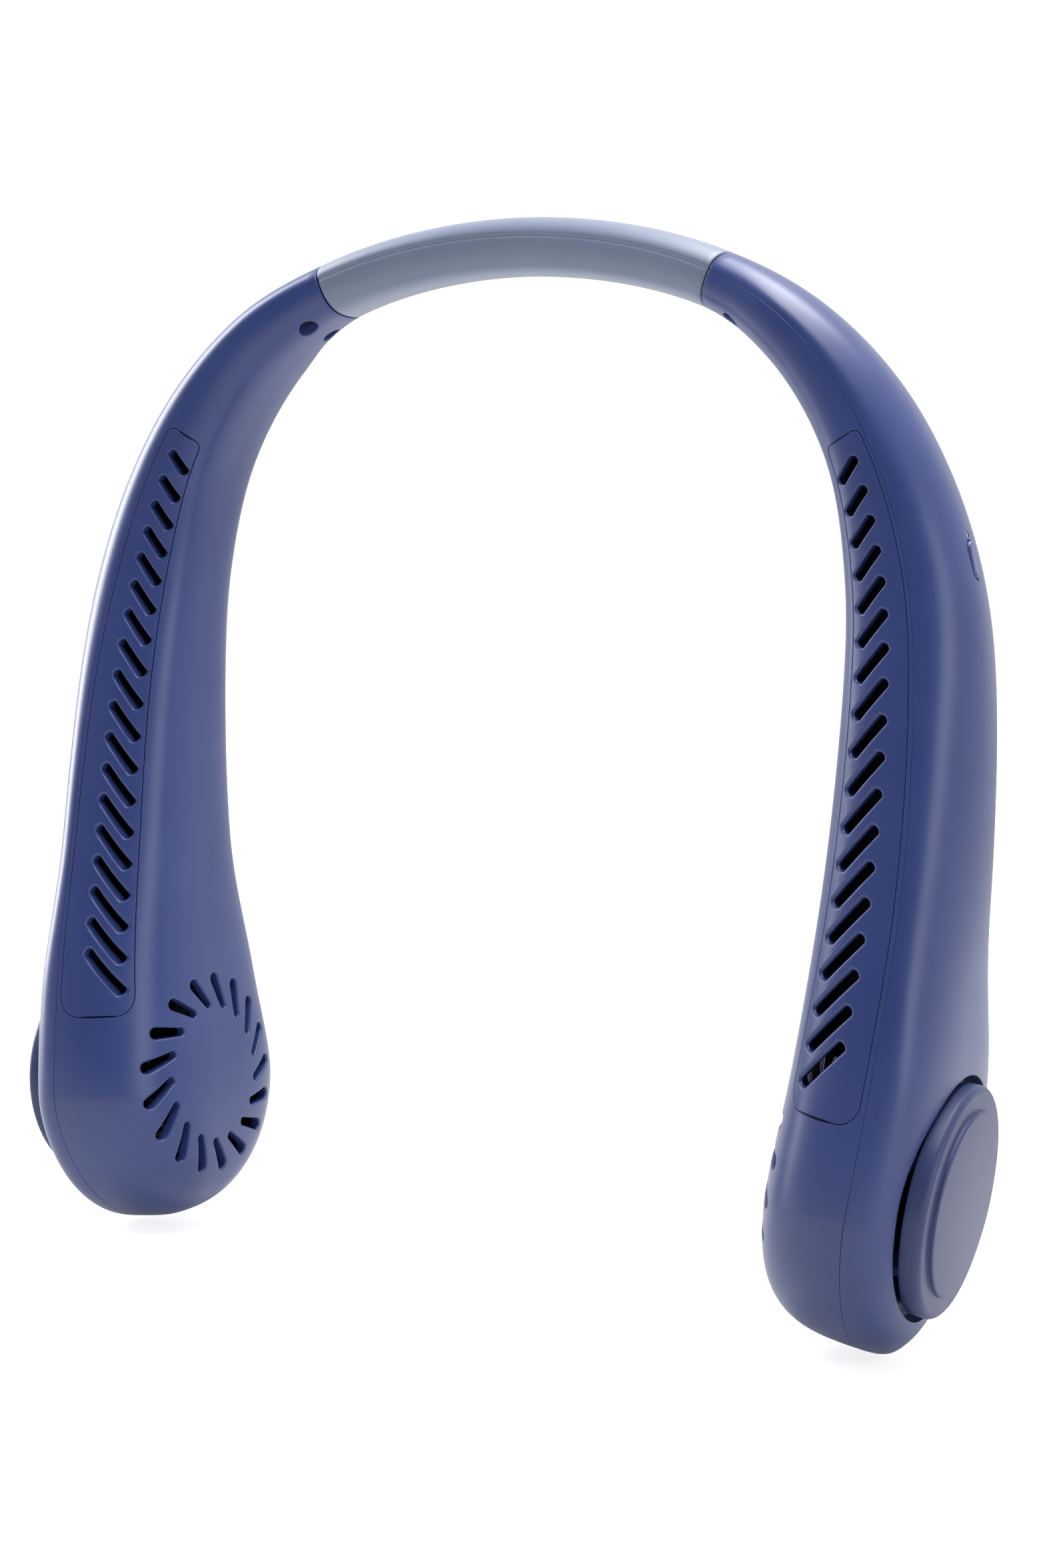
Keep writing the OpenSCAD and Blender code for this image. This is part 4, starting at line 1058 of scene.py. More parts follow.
@dataclass
class MouldedArm:
    """The two half shells, grille strip and openings of one arm."""

    bow: Bow
    side: Side
    wall: float = 1.8
    past: float = 1.0
    edge_round: float = 0.22
    across: int = 84
    row_step: float = 1.5
    foot_rows: int = 30
    foot_ease: float = 2.4
    slot_count: int = 18
    slot_first: float = 91.0
    slot_run: float = 106.6
    slot_end_d: float = 2.4
    slot_mid_w: float = 1.95
    slot_inset_share: float = 0.22
    slot_through: float = 9.0
    slot_rim: Tuple[float, float, float] = (0.36, 0.26, 1.6)  # first radius, what it gains, how soon
    slot_shares: Tuple[float, float] = (.34, .67)
    slot_places: ShareCurve = field(default_factory=lambda: ShareCurve([
        (0, 0), (.3, .285), (.65, .648), (1, 1)]))
    slot_slants: ShareCurve = field(default_factory=lambda: ShareCurve([
        (0, 30), (.3, 43), (.6, 48), (1, 50)]))
    strip_shares: Tuple[float, float] = (.05, .765)
    strip_end: float = 6.0
    strip_tail: float = 1.5
    strip_corners: Tuple[float, float] = (1.6, 4.2)
    strip_gap: float = 0.12
    strip_t: float = 2.0
    # Each rim below is how far an outline grows and how deep it lies, from outside in.
    strip_rims: Rims = ((.17, -6), (.17, -.03), (.12, .01), (.04, .05), (0, .14), (0, 5))
    strip_lean: Tuple[float, float] = (.45, .85)
    ring_count: int = 17
    ring_radii: Tuple[float, float] = (20.4, 13.3)
    ring_widths: Tuple[float, float] = (2.4, 1.6)
    ring_swirl: float = 11.6
    ring_phase: float = 106.0
    ring_rim: Tuple[float, float] = (0.45, 6.0)  # radius and depth of cut, as in the next two rims
    well_s: float = 49.5
    well_spacing: float = 8.6
    well_d: float = 3.8
    well_top: float = 4.4
    well_rim: Tuple[float, float] = (0.3, 2.0)
    ledge_half: Tuple[float, float] = (3.4, 5.1)
    ledge_depths: Tuple[float, float] = (0.7, 3.2)
    ledge_taper: float = 0.98
    hole_rim: Tuple[float, float] = (0.3, 3.0)

    def profile(self, half: Half, s: float, cut: float, lip: float) -> np.ndarray:
        """Section curve from the front of the seam to its back.

        Args:
            half: which half.
            s: seam length.
            cut: how far the section is drawn in.
            lip: radius that rounds the seam's edges, or 0.

        Returns:
            Rows of u and v.
        """
        bow = self.bow
        sizes = [float(x) for x in bow.sizes(np.array(s), cut)]
        depth, front = sizes[0 if half is Half.NECK else 1], sizes[2]
        powers = bow.powers(half, s)
        rounded = lip > 0
        lip = min(lip, depth * 0.3, front * 0.3)
        ends = [math.asin((max(lip, 1e-4) / max(depth, 1e-3)) ** (power / 2)) if depth > 1e-3 else 0.0
                for power in powers]
        t = np.linspace(0, 1, 500)
        eased = t - 0.12 * np.sin(4 * math.pi * t) / (4 * math.pi)
        angle = ends[0] + (math.pi - ends[0] - ends[1]) * eased
        dense = half_curve(half, angle, sizes, powers)
        reach = np.concatenate([[0], np.cumsum(np.linalg.norm(np.diff(dense, axis=0), axis=1))])
        measure = 0.7 * reach / max(reach[-1], 1e-9) + 0.3 * t
        picked = np.interp(np.linspace(0, 1, self.across), measure, angle)
        body = half_curve(half, picked, sizes, powers)
        if not rounded:
            return body
        turn = np.radians(np.linspace(90, 18, 5))
        rows = []
        for v_end, direction in ((body[0, 1], -1), (body[-1, 1], 1)):
            u = half.value * (lip - lip * np.sin(turn))
            v = v_end - direction * lip + direction * lip * np.cos(turn)
            rows.append(np.stack([u, v], -1))
        return np.concatenate([rows[0], body, rows[1][::-1]])

    def half_solid(self, half: Half, cut: float, extend: float) -> Solid:
        """A closed half of the arm, drawn in by cut.

        Args:
            half: which half.
            cut: how far it is drawn in; 0 gives the skin with rounded edges.
            extend: how far a cavity stands through the seam and the mouth, or 0.

        Returns:
            The solid for the right arm.
        """
        bow = self.bow
        closed = extend == 0
        lip = self.edge_round if closed else 0.0
        rows: List[Tuple[float, float]] = []
        if closed:
            for angle in (0, 30, 60):
                a = math.radians(angle)
                rows.append((bow.mouth_s + lip * (1 - math.cos(a)), cut + lip * (1 - math.sin(a))))
        start = bow.mouth_s + (lip if closed else -extend)
        count = int((bow.foot_s - start) / self.row_step)
        rows += [(start + (bow.foot_s - start) * k / count, cut) for k in range(count + 1)]
        reach, last = bow.foot_len - cut, self.foot_rows
        rows += [(bow.foot_s + reach * (1 - (1 - k / last) ** self.foot_ease), cut)
                 for k in range(1, last + 1)]
        rings = []
        for s, drawn in rows:
            curve = self.profile(half, s, drawn, lip)
            if not closed:
                ends = [[[-half.value * extend, curve[i, 1]]] for i in (0, -1)]
                curve = np.concatenate([ends[0], curve, ends[1]])
            rings.append(bow.at(s, curve[:, 0], curve[:, 1]))
        return loft(rings, Cap.POLYGON, Cap.POLE if closed else Cap.POLYGON)

    def strip_outline(self, grow: float) -> Tuple[np.ndarray, np.ndarray]:
        """Outline of the grille strip with round corners.

        Args:
            grow: how far it is moved outwards.

        Returns:
            Seam lengths and depth shares, one edge out and the other back.
        """
        first = self.slot_first - self.strip_end - grow
        last = self.slot_first + self.slot_run + self.strip_tail * self.strip_end + grow
        a = np.radians(np.linspace(0, 90, 10))
        top, foot = (corner + grow for corner in self.strip_corners)
        side_rows = 70
        straight = np.linspace(first + top, last - foot, side_rows + 2)[1:-1]
        s = np.concatenate([first + top * (1 - np.cos(a)), straight,
                            (last - foot * (1 - np.cos(a)))[::-1]])
        inset = np.concatenate([top * (1 - np.sin(a)), np.zeros(side_rows),
                                (foot * (1 - np.sin(a)))[::-1]])
        inwards, _, front, _ = self.bow.sizes(s)
        low = self.strip_shares[0] + (inset - grow) / inwards
        p = self.bow.front_square(s / self.bow.seam_len)
        k = self.strip_shares[1]
        steep = front / inwards * k ** (p - 1) / (1 - k ** p) ** (1 - 1 / p)
        high = k - (inset - grow) / (inwards * np.sqrt(1 + steep ** 2))
        return np.concatenate([s, s[::-1]]), np.concatenate([low, high[::-1]])

    def strip_tool(self, rims: Sequence[Tuple[float, float]]) -> Solid:
        """Prism that follows the front skin with the strip's outline.

        Args:
            rims: pairs of how far the outline grows and how deep it lies, from outside in.

        Returns:
            The prism for the right arm.
        """
        rings = []
        for grow, depth in rims:
            s, share = self.strip_outline(grow)
            inwards, _, front, _ = self.bow.sizes(s)
            p = self.bow.front_square(s / self.bow.seam_len)
            u, v = -share * inwards, -front * bulge(share, p)
            if abs(depth) < SKIN_DEEP:
                rings.append(self.bow.below_skin(Half.NECK, (s, u, v), depth))
            else:
                outwards, backwards = (lean * depth for lean in self.strip_lean)
                rings.append(self.bow.at(s, u + outwards, v + backwards))
        return loft(rings, Cap.PAIRED, Cap.PAIRED)

    def slot_tool(self, k: int, rims: Sequence[Tuple[float, float]]) -> Solid:
        """Cutter for one outlet slot, waisted between round ends.

        Args:
            k: which slot, from the top.
            rims: pairs of how far the outline grows and how deep it lies.

        Returns:
            The cutter for the right arm.
        """
        bow = self.bow
        place = k / (self.slot_count - 1)
        s0 = self.slot_first + self.slot_run * float(self.slot_places(place))
        inwards = float(bow.sizes(np.array(s0))[0])
        u_out, u_in = (-share * inwards for share in self.slot_shares)
        drop = (u_out - u_in) * math.tan(math.radians(float(self.slot_slants(place))))
        run = math.hypot(u_out - u_in, drop)
        along = np.array([(u_in - u_out) / run, -drop / run])
        across = np.array([-along[1], along[0]])
        start = np.array([u_out, drop / 2])
        inset = self.slot_end_d * self.slot_inset_share
        rings = []
        for grow, depth in rims:
            radius, waist = self.slot_end_d / 2 + grow, self.slot_mid_w / 2 + grow
            lean = math.asin(min(1, waist / radius)) if waist < radius else math.pi / 2
            reach = radius * math.cos(lean)
            outline = []
            for end, far, turn, sign in ((run - inset, inset, 0.0, 1),
                                         (inset, run - inset, math.pi, -1)):
                for a in np.linspace(-lean, lean, 13):
                    outline.append((end + radius * math.cos(turn + a), radius * math.sin(turn + a)))
                edge_from, edge_to = end + sign * reach, far - sign * reach
                for t in (0.15, 0.3, 0.5, 0.7, 0.85):
                    outline.append((edge_from + (edge_to - edge_from) * t, sign * waist))
            flat = np.array([start + x * along + y * across for x, y in outline])
            spot = bow.onto_front(s0, flat[:, 0], flat[:, 1])
            if depth < SKIN_DEEP:
                rings.append(bow.below_skin(Half.NECK, spot, depth))
            else:
                rings.append(bow.at(*spot) + [0, depth, 0])
        return loft(rings)

    def ring_tool(self, k: int, rims: Sequence[Tuple[float, float]]) -> Solid:
        """Cutter for one slot of the inlet ring, wider at its outer end.

        Args:
            k: which slot.
            rims: pairs of how far the outline grows and how deep it lies.

        Returns:
            The cutter for the right arm.
        """
        bow = self.bow
        wide, narrow = (width / 2 for width in self.ring_widths)
        far = np.array([self.ring_radii[0] - wide, 0.0])
        swirl = math.radians(self.ring_swirl)
        near = (self.ring_radii[1] + narrow) * np.array([math.cos(swirl), -math.sin(swirl)])
        lean = math.atan2(far[1] - near[1], far[0] - near[0])
        turn = math.radians(self.ring_phase + 360 * k / self.ring_count)
        spin = np.array([[math.cos(turn), math.sin(turn)], [-math.sin(turn), math.cos(turn)]])
        rings = []
        for grow, depth in rims:
            ends = []
            for centre, radius, face in ((far, wide, lean), (near, narrow, lean + math.pi)):
                a = face + np.linspace(-math.pi / 2, math.pi / 2, 13)
                ends.append(centre + (radius + grow) * np.stack([np.cos(a), np.sin(a)], -1))
            sides = []
            for p, q in ((ends[0], ends[1]), (ends[1], ends[0])):
                sides.append(p)
                sides.append(np.array([p[-1] + (q[0] - p[-1]) * t for t in (0.2, 0.4, 0.6, 0.8)]))
            flat = np.concatenate(sides) @ spin
            spot = bow.onto_side(Half.NECK, bow.fan_s, flat[:, 0], flat[:, 1])
            if depth < SKIN_DEEP:
                rings.append(bow.below_skin(Half.NECK, spot, depth))
            else:
                rings.append(bow.at(*spot) + depth * bow.frame_at(bow.fan_s)[1])
        return loft(rings)

    def well_tool(self, end: int, rims: Sequence[Tuple[float, float]]) -> Solid:
        """Cutter for one screw well at the mouth.

        Args:
            end: -1 for the front well, 1 for the back one.
            rims: pairs of how far the outline grows and how deep it lies.

        Returns:
            The cutter for the right arm.
        """
        bow = self.bow
        rings = []
        for grow, depth in rims:
            middle = [end * self.well_spacing / 2, 0]
            back, up = (circle(self.well_d / 2 + grow, 40) + middle).T
            if depth < SKIN_DEEP:
                spot = bow.onto_side(Half.NECK, self.well_s, back, up)
                rings.append(bow.below_skin(Half.NECK, spot, depth))
            else:
                rings.append(bow.in_frame(self.well_s, -self.well_top, back, up))
        return loft(rings)

    @staticmethod
    def rims(radius: float, through: float, lift: float = 1.2) -> List[Tuple[float, float]]:
        """Rounded rim of an opening.

        Args:
            radius: the rim's radius.
            through: how deep the opening is cut.
            lift: how far the cutter stands outside the skin.

        Returns:
            Pairs of how far the outline grows and how deep it lies.
        """
        overhang, sunk = 1.35, 0.012
        rows = [(radius * overhang, -lift), (radius * overhang, -0.03)]
        for angle in (0, 25, 50, 72, 90):
            a = math.radians(angle)
            rows.append((radius * (1 - math.sin(a)), radius * (1 - math.cos(a)) + sunk))
        return rows + [(0.0, through)]

    def raw_half(self, half: Half, name: str) -> bpy.types.Object:
        """The uncut half of the arm as an object."""
        return self.half_solid(half, 0, 0).mirrored(self.side).as_object(name)

    def ledge(self) -> Solid:
        """The flat step inside the neck-side shell that the screw wells end on.

        Returns:
            The solid for the right arm.
        """
        bow = self.bow
        along, across = self.ledge_half
        sunk, low = self.ledge_depths
        rings = []
        for up in (-along, along):
            back = np.linspace(-1, 1, 24) * across
            s, u, v = bow.onto_side(Half.NECK, self.well_s, back, np.full(24, up))
            under = bow.in_frame(self.well_s, -low, back[::-1] * self.ledge_taper, up)
            rings.append(np.concatenate([bow.at(s, u + sunk, v), under]))
        return loft(rings, Cap.PAIRED, Cap.PAIRED)

    def neck_half(self) -> bpy.types.Object:
        """Neck-side shell with the strip's window, the inlet ring and the screw wells.

        Returns:
            The piece.
        """
        shell = self.raw_half(Half.NECK, self.side.word + "_neck_side_shell")
        carve(shell, self.half_solid(Half.NECK, self.wall, self.past).mirrored(self.side))
        carve(shell, self.ledge().mirrored(self.side), Carving.ADD)
        ring_rims, well_rims = self.rims(*self.ring_rim), self.rims(*self.well_rim)
        tool = self.strip_tool(self.strip_rims)
        tool = tool.plus(*(self.ring_tool(k, ring_rims) for k in range(self.ring_count)))
        tool = tool.plus(*(self.well_tool(end, well_rims) for end in (-1, 1)))
        carve(shell, tool.mirrored(self.side))
        finished(shell, SHELL, self.side.word + "_arm")
        keep_skin_smooth(shell, self.bow, Half.NECK, self.side)
        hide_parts(self.side.word + "_inner_shell")
        return shell

    def grille(self) -> bpy.types.Object:
        """Outlet strip with its slanted slots.

        Returns:
            The piece.
        """
        strip = self.raw_half(Half.NECK, self.side.word + "_outlet_strip")
        tool = self.strip_tool([(-self.strip_gap - grow, depth) for grow, depth in self.strip_rims])
        carve(strip, tool.mirrored(self.side), Carving.KEEP)
        carve(strip, self.half_solid(Half.NECK, self.strip_t, self.past).mirrored(self.side))
        least, more, ramp = self.slot_rim
        cuts = [self.slot_tool(k, self.rims(least + more * min(1, ramp * k / self.slot_count),
                                            self.slot_through)) for k in range(self.slot_count)]
        carve(strip, cuts[0].plus(*cuts[1:]).mirrored(self.side))
        finished(strip, GRILLE, self.side.word + "_arm")
        keep_skin_smooth(strip, self.bow, Half.NECK, self.side)
        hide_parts(self.side.word + "_outlet_grille")
        return strip

    def outer_half(self, cup: "IntakeCap", key: "PowerKey", port: "ChargePort") -> bpy.types.Object:
        """Outer shell with the cup under the intake cap, and the button's openings.

        Args:
            cup: the cap, which gives the cup's sizes.
            key: the power button, cut on the right arm.
            port: the charging receptacle, cut on the right arm.

        Returns:
            The piece.
        """
        name = self.side.word + "_outer_side_shell"
        shell = self.raw_half(Half.OUTER, name)
        cavity = self.half_solid(Half.OUTER, self.wall, self.past).mirrored(self.side)
        hollow = cavity.as_object(name + "_cavity")
        carve(hollow, cup.cup_body().mirrored(self.side))
        carve(shell, Solid.taken_from(hollow))
        if self.side is Side.RIGHT:
            rims = self.rims(*self.hole_rim)
            for opening in (*key.openings(rims), port.opening(rims)):
                carve(shell, opening)
        carve(shell, cup.recess().mirrored(self.side))
        finished(shell, SHELL, self.side.word + "_arm")
        keep_skin_smooth(shell, self.bow, Half.OUTER, self.side)
        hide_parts(self.side.word + "_outer_shell")
        return shell

    def build(self, cup: "IntakeCap", key: "PowerKey", port: "ChargePort") -> None:
        """Makes the arm's three moulded pieces.

        Args:
            cup: the cap, which gives the cup's sizes.
            key: the power button, cut on the right arm.
            port: the charging receptacle, cut on the right arm.
        """
        self.neck_half()
        self.grille()
        self.outer_half(cup, key, port)


@dataclass
class IntakeCap:
    """The two-step cap over the outer side of the bulb, and the cup that it stands in."""

    bow: Bow
    side: Side
    radius: float = 21.0
    disc_r: float = 16.8
    top: float = 12.7
    step: float = 0.9
    rim_t: float = 3.8
    wall: float = 1.8
    floor_top: float = 5.2
    floor_r: float = 22.2
    mouth_round: float = 1.6
    mouth_at: float = 8.4
    eye_r: float = 13.6
    eye_round: float = 0.5
    floor_round: float = 0.8
    disc_round: float = 0.5
    step_round: float = 0.25
    rim_round: float = 1.3
    skirt_round: float = 0.3
    below: float = -3.0
    above: float = 20.0
    rib_count: int = 6
    rib_w: float = 1.6
    rib_ease: float = 0.15
    peg_d: float = 1.6
    peg_depth: float = 1.4
    peg_up: float = 0.15

    def axis(self) -> Matrix:
        """Frame of the fan's axis on this side, with Z outwards and in millimetres."""
        origin, out, rise = (a * self.side.flip for a in self.bow.frame_at(self.bow.fan_s))
        return standing((-rise, np.cross(out, -rise), out), origin)

    def on_axis(self, solid: Solid) -> Solid:
        """Puts a solid drawn about Z on the right arm's fan axis.

        Args:
            solid: the solid.

        Returns:
            The solid in its place.
        """
        origin, out, rise = self.bow.frame_at(self.bow.fan_s)
        basis = np.array([-rise, [0, 1, 0], out])
        return Solid(solid.points @ basis + origin, solid.faces)

    def cup_body(self) -> Solid:
        """What stays solid under the cap's cup."""
        r, low = self.floor_r + self.wall, self.floor_top - self.wall
        return self.on_axis(turned([(0, low), (r, low), (r, self.above), (0, self.above)]))

    def recess(self) -> Solid:
        """What is cut away for the cap and the intake.

        Returns:
            The cutter for the right arm.
        """
        floor, r, eye = self.floor_top, self.floor_r, self.eye_r
        lip, fillet, mouth = self.eye_round, self.floor_round, self.mouth_round
        profile = [(0, self.below), (eye, self.below), (eye, floor - lip)]
        profile += arc((eye + lip, floor - lip), lip, 180, 90, 4)
        profile += arc((r - fillet, floor + fillet), fillet, -90, -10, 5)
        profile += arc((r + mouth, self.mouth_at), mouth, 180, 90, 6)
        profile += [(r + mouth, self.above), (0, self.above)]
        return self.on_axis(turned(profile, 128))

    def shell(self) -> Solid:
        """The cap's turned shell for the right arm.

        Returns:
            The solid.
        """
        rim_top = self.top - self.step
        skirt = rim_top - self.rim_t
        r, disc, w = self.radius, self.disc_r, self.wall
        a, b, c, d = self.disc_round, self.step_round, self.rim_round, self.skirt_round
        profile = [(0, self.top)] + arc((disc - a, self.top - a), a, 90, 0, 5)
        profile += arc((disc + b, rim_top + b), b, 180, 270, 4)
        profile += arc((r - c, rim_top - c), c, 90, 0, 9) + arc((r - d, skirt + d), d, 0, -90, 3)
        profile += [(r - w, skirt), (r - w, rim_top - w), (disc - w, rim_top - w),
                    (disc - 2 * w, self.top - w), (0, self.top - w)]
        return self.on_axis(turned(profile, 128))

    def rib(self) -> Solid:
        """One of the ribs that carry the cap, about the Z axis.

        Returns:
            The solid in the axis frame.
        """
        start, stop, half = self.eye_r + self.rib_w / 2, self.radius - self.wall / 2, self.rib_w / 2
        low, high = self.floor_top, self.top - self.step - self.wall / 2
        rows = ((low, half - self.rib_ease), (low + .3, half), (high - .2, half), (high, half))
        return loft([np.array([[start, -b, z], [stop, -b, z], [stop, b, z], [start, b, z]])
                     for z, b in rows])

    def peg(self) -> Solid:
        """One of the pegs that locate the cap, about the Z axis.

        Returns:
            The solid in the axis frame.
        """
        low, high, r = self.floor_top - self.peg_depth, self.floor_top + self.peg_up, self.peg_d / 2
        solid = turned([(0, low + .15), (r - .2, low + .15), (r, low + .4), (r, high), (0, high)], 24)
        return Solid(solid.points + np.array([(self.eye_r + self.floor_r) / 2, 0, 0]), solid.faces)

    def build(self) -> None:
        """Makes the cap's turned shell, its ribs and its pegs."""
        word = self.side.word
        shell = self.shell().mirrored(self.side).as_object(word + "_cap_shell")
        finished(shell, CAP, word + "_arm")
        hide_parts(word + "_intake_cap")
        for form, count, name in ((self.rib(), self.rib_count, "_cap_ribs"),
                                  (self.peg(), self.rib_count // 2, "_cap_pegs")):
            piece = repeated(form.as_object(word + name), count, CAP, place=self.axis())
            finished(piece, CAP, word + "_arm")


@dataclass
class Impeller:
    """The centrifugal wheel: curved blades between two rings, on a cup over the motor."""

    cap: IntakeCap
    seat_h: float = 3.9
    base_t: float = 1.2
    rotor_lift: float = 0.8
    can_r: float = 9.8
    can_h: float = 7.4
    can_gap: float = 1.0
    radius: float = 19.4
    blade_in_r: float = 14.2
    blade_h: float = 15.0
    blade_count: int = 24
    blade_t: float = 0.8
    blade_sweep: float = 24.0
    blade_lean: float = 30.0
    blade_taper: float = 0.25
    blade_inset: float = 0.6
    ring_w: float = 1.2
    ring_t: float = 1.0
    hub_round: float = 0.6
    gap: float = 2.4

    @property
    def can_from(self) -> float:
        """Where the rotor's can starts, above the motor's base on the neck-side skin."""
        return -self.cap.bow.bulb[0] + self.seat_h + self.base_t + self.rotor_lift

    def blade(self, base: float) -> Solid:
        """One curved blade about the Z axis.

        Args:
            base: height of its lower edge.

        Returns:
            The solid in the axis frame.
        """
        rows = []
        for side, steps in ((-1, np.linspace(0, 1, 9)), (1, np.linspace(1, 0, 9))):
            for t in steps:
                r = self.blade_in_r + (self.radius - self.blade_inset - self.blade_in_r) * t
                angle = math.radians(self.blade_sweep * t * t)
                lean = angle + math.radians(self.blade_lean * t)
                half = self.blade_t / 2 * (1 - self.blade_taper * t)
                rows.append((r * math.cos(angle) - side * half * math.sin(lean),
                             r * math.sin(angle) + side * half * math.cos(lean)))
        return loft([np.array([(x, y, base + z) for x, y in rows]) for z in (0, self.blade_h)])

    def build(self) -> None:
        """Makes the wheel's body and its blades."""
        cap = self.cap
        word = cap.side.word
        base = cap.floor_top - cap.wall - self.gap - self.blade_h
        gap, edge, inner = self.can_gap, self.hub_round, self.blade_in_r + 1
        top = self.can_from + self.can_h + gap
        r = self.can_r + gap
        hub = [(self.can_r, self.can_from), (r, self.can_from), (r, top - 2)]
        hub += [(inner, top - 2), (inner, top - 1), (r + .3, top - 1)]
        hub += arc((r - edge, top - edge), edge, 0, 90, 4)
        hub += [(0, top), (0, top - 1), (self.can_r, top - 1)]
        body = turned(hub, 96)
        for z in (base, base + self.blade_h - self.ring_t):
            near, far, over = self.radius - self.ring_w, self.radius, z + self.ring_t
            body = body.plus(turned([(near, z), (far, z), (far, over), (near, over)], 96))
        wheel = cap.on_axis(body).mirrored(cap.side).as_object(word + "_wheel_body")
        finished(wheel, FAN, word + "_fan")
        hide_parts(word + "_impeller")
        blades = self.blade(base).as_object(word + "_wheel_blades")
        repeated(blades, self.blade_count, FAN, place=cap.axis())
        finished(blades, FAN, word + "_fan")


@dataclass
class PowerKey:
    """The power button on the outer side of the right arm, with its small light above it."""

    bow: Bow
    place_s: float = 111.3
    length: float = 6.8
    width: float = 3.2
    gap: float = 0.25
    hole_share: float = 0.8
    proud: float = 0.3
    top_round: float = 0.45
    light_d: float = 1.3
    light_up: float = 0.4
    light_gap: float = 0.02
    light_share: float = 0.35
    wall: float = 1.8
    flange_gap: float = 0.7
    flange_t: float = 1.0
    flange_w: float = 1.0
    flange_short: float = 0.8
    stem_r: float = 1.3
    bottom: float = 4.75

    def outline(self, grow: float, stretch: float = 0.0) -> np.ndarray:
        """Rows of back and up round the button, grown all round and stretched along the arm."""
        return pill(self.width / 2 + grow, (self.length - self.width) / 2 + stretch)

    def button_hole(self, grow: float) -> np.ndarray:
        """Outline of the button's hole."""
        return self.outline(self.gap + grow * self.hole_share)

    def light_hole(self, grow: float) -> np.ndarray:
        """Outline of the light's hole."""
        return (circle(self.light_d / 2 + self.light_gap + grow * self.light_share, 24)
                + [0, self.length / 2 + self.light_d / 2 + self.light_up])

    def openings(self, rims: Rims) -> List[Solid]:
        """Cutters for the button's hole and the light's hole.

        Args:
            rims: pairs of how far the outline grows and how deep it lies.

        Returns:
            The two cutters.
        """
        tools = []
        for hole in (self.button_hole, self.light_hole):
            rings = []
            for grow, depth in rims:
                spot = self.bow.onto_side(Half.OUTER, self.place_s, *hole(grow).T)
                rings.append(self.bow.below_skin(Half.OUTER, spot, depth))
            tools.append(loft(rings))
        return tools

    def build(self) -> None:
        """Makes the button: a pill with a rounded top, its flange and its stem."""
        seat = float(self.bow.sizes(np.array(self.place_s))[1])
        flange = seat - self.wall - self.flange_gap
        top, edge = seat + self.proud, self.top_round

        def at(flat: np.ndarray, height: float) -> np.ndarray:
            """Points of the button's frame at a height outwards."""
            return self.bow.in_frame(self.place_s, height, *flat.T)

        rings = [at(self.outline(0), flange - .5)]
        for angle in (0, 22, 45, 68, 88):
            a = math.radians(angle)
            rings.append(at(self.outline(-edge * (1 - math.cos(a))), top - edge + edge * math.sin(a)))
        rings.append(at(self.outline(-.8), top - .03))
        wide, disc = self.outline(self.flange_w, -self.flange_short), circle(self.stem_r, 32)
        plate = loft([at(wide, flange - self.flange_t), at(wide, flange)])
        stem = loft([at(disc, self.bottom), at(disc, flange - .5)])
        pieces = loft(rings).plus(plate, stem)
        button = finished(pieces.as_object("power_button_pill"), BUTTON, "power_key")
        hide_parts("power_button")


@dataclass
class ChargePort:
    """The charging receptacle and its opening, at the back of the right arm below the button."""

    bow: Bow
    place_s: float = 111.3
    out_at: float = 3.60
    up_at: float = -13.95
    width: float = 8.9
    height: float = 3.2
    depth: float = 7.3
    face_share: float = 0.9
    margin: float = 0.25
    shell_t: float = 0.4
    sunk: float = 0.35
    edge: float = 0.1

    def outline(self, grow: float) -> np.ndarray:
        """Points of the slot outline in space, at the middle plane of the bow.

        Args:
            grow: how far it is moved outwards.

        Returns:
            Rows of X, Y and Z.
        """
        flat = pill(self.height / 2 + grow, (self.width - self.height) / 2)
        out, up = (flat + [self.out_at, self.up_at]).T
        return self.bow.in_frame(self.place_s, out, 0, up)

    def skin_back(self, points: np.ndarray) -> np.ndarray:
        """How far back the outer shell's skin lies behind points of the outline.

        Args:
            points: rows of X, Y and Z.

        Returns:
            The distances back.
        """
        s, u, _ = self.bow.locate(points)
        _, outwards, _, rear = self.bow.sizes(s)
        p = self.bow.outer_square(s / self.bow.seam_len)
        return rear * bulge(np.clip(u / outwards, 0, 1), p)

    @property
    def inner_end(self) -> float:
        """Where the receptacle starts, inside the arm."""
        return self.face_share * float(self.bow.sizes(np.array(self.place_s))[3]) - self.depth

    def opening(self, rims: Rims) -> Solid:
        """Cutter for the receptacle's hole in the outer shell.

        Args:
            rims: pairs of how far the outline grows and how deep it lies.

        Returns:
            The cutter.
        """
        rings = []
        for grow, depth in rims:
            points = self.outline(self.margin + grow)
            points[:, 1] = self.skin_back(points) - depth if depth < SKIN_DEEP else self.inner_end
            rings.append(points)
        return loft(rings)

    def build(self) -> None:
        """Makes the receptacle's metal shell, sunk just below the skin."""
        mouth = float(np.min(self.skin_back(self.outline(0)))) - self.sunk
        edge, inner = self.edge, -self.shell_t
        rings = []
        for grow, back in ((0, self.inner_end), (0, mouth - edge), (-edge, mouth),
                           (inner + edge, mouth), (inner, mouth - edge),
                           (inner, self.inner_end + 1)):
            points = self.outline(grow)
            points[:, 1] = back
            rings.append(points)
        shell = finished(loft(rings).as_object("charge_receptacle"), PORT, "right_arm")
        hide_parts("charge_port")


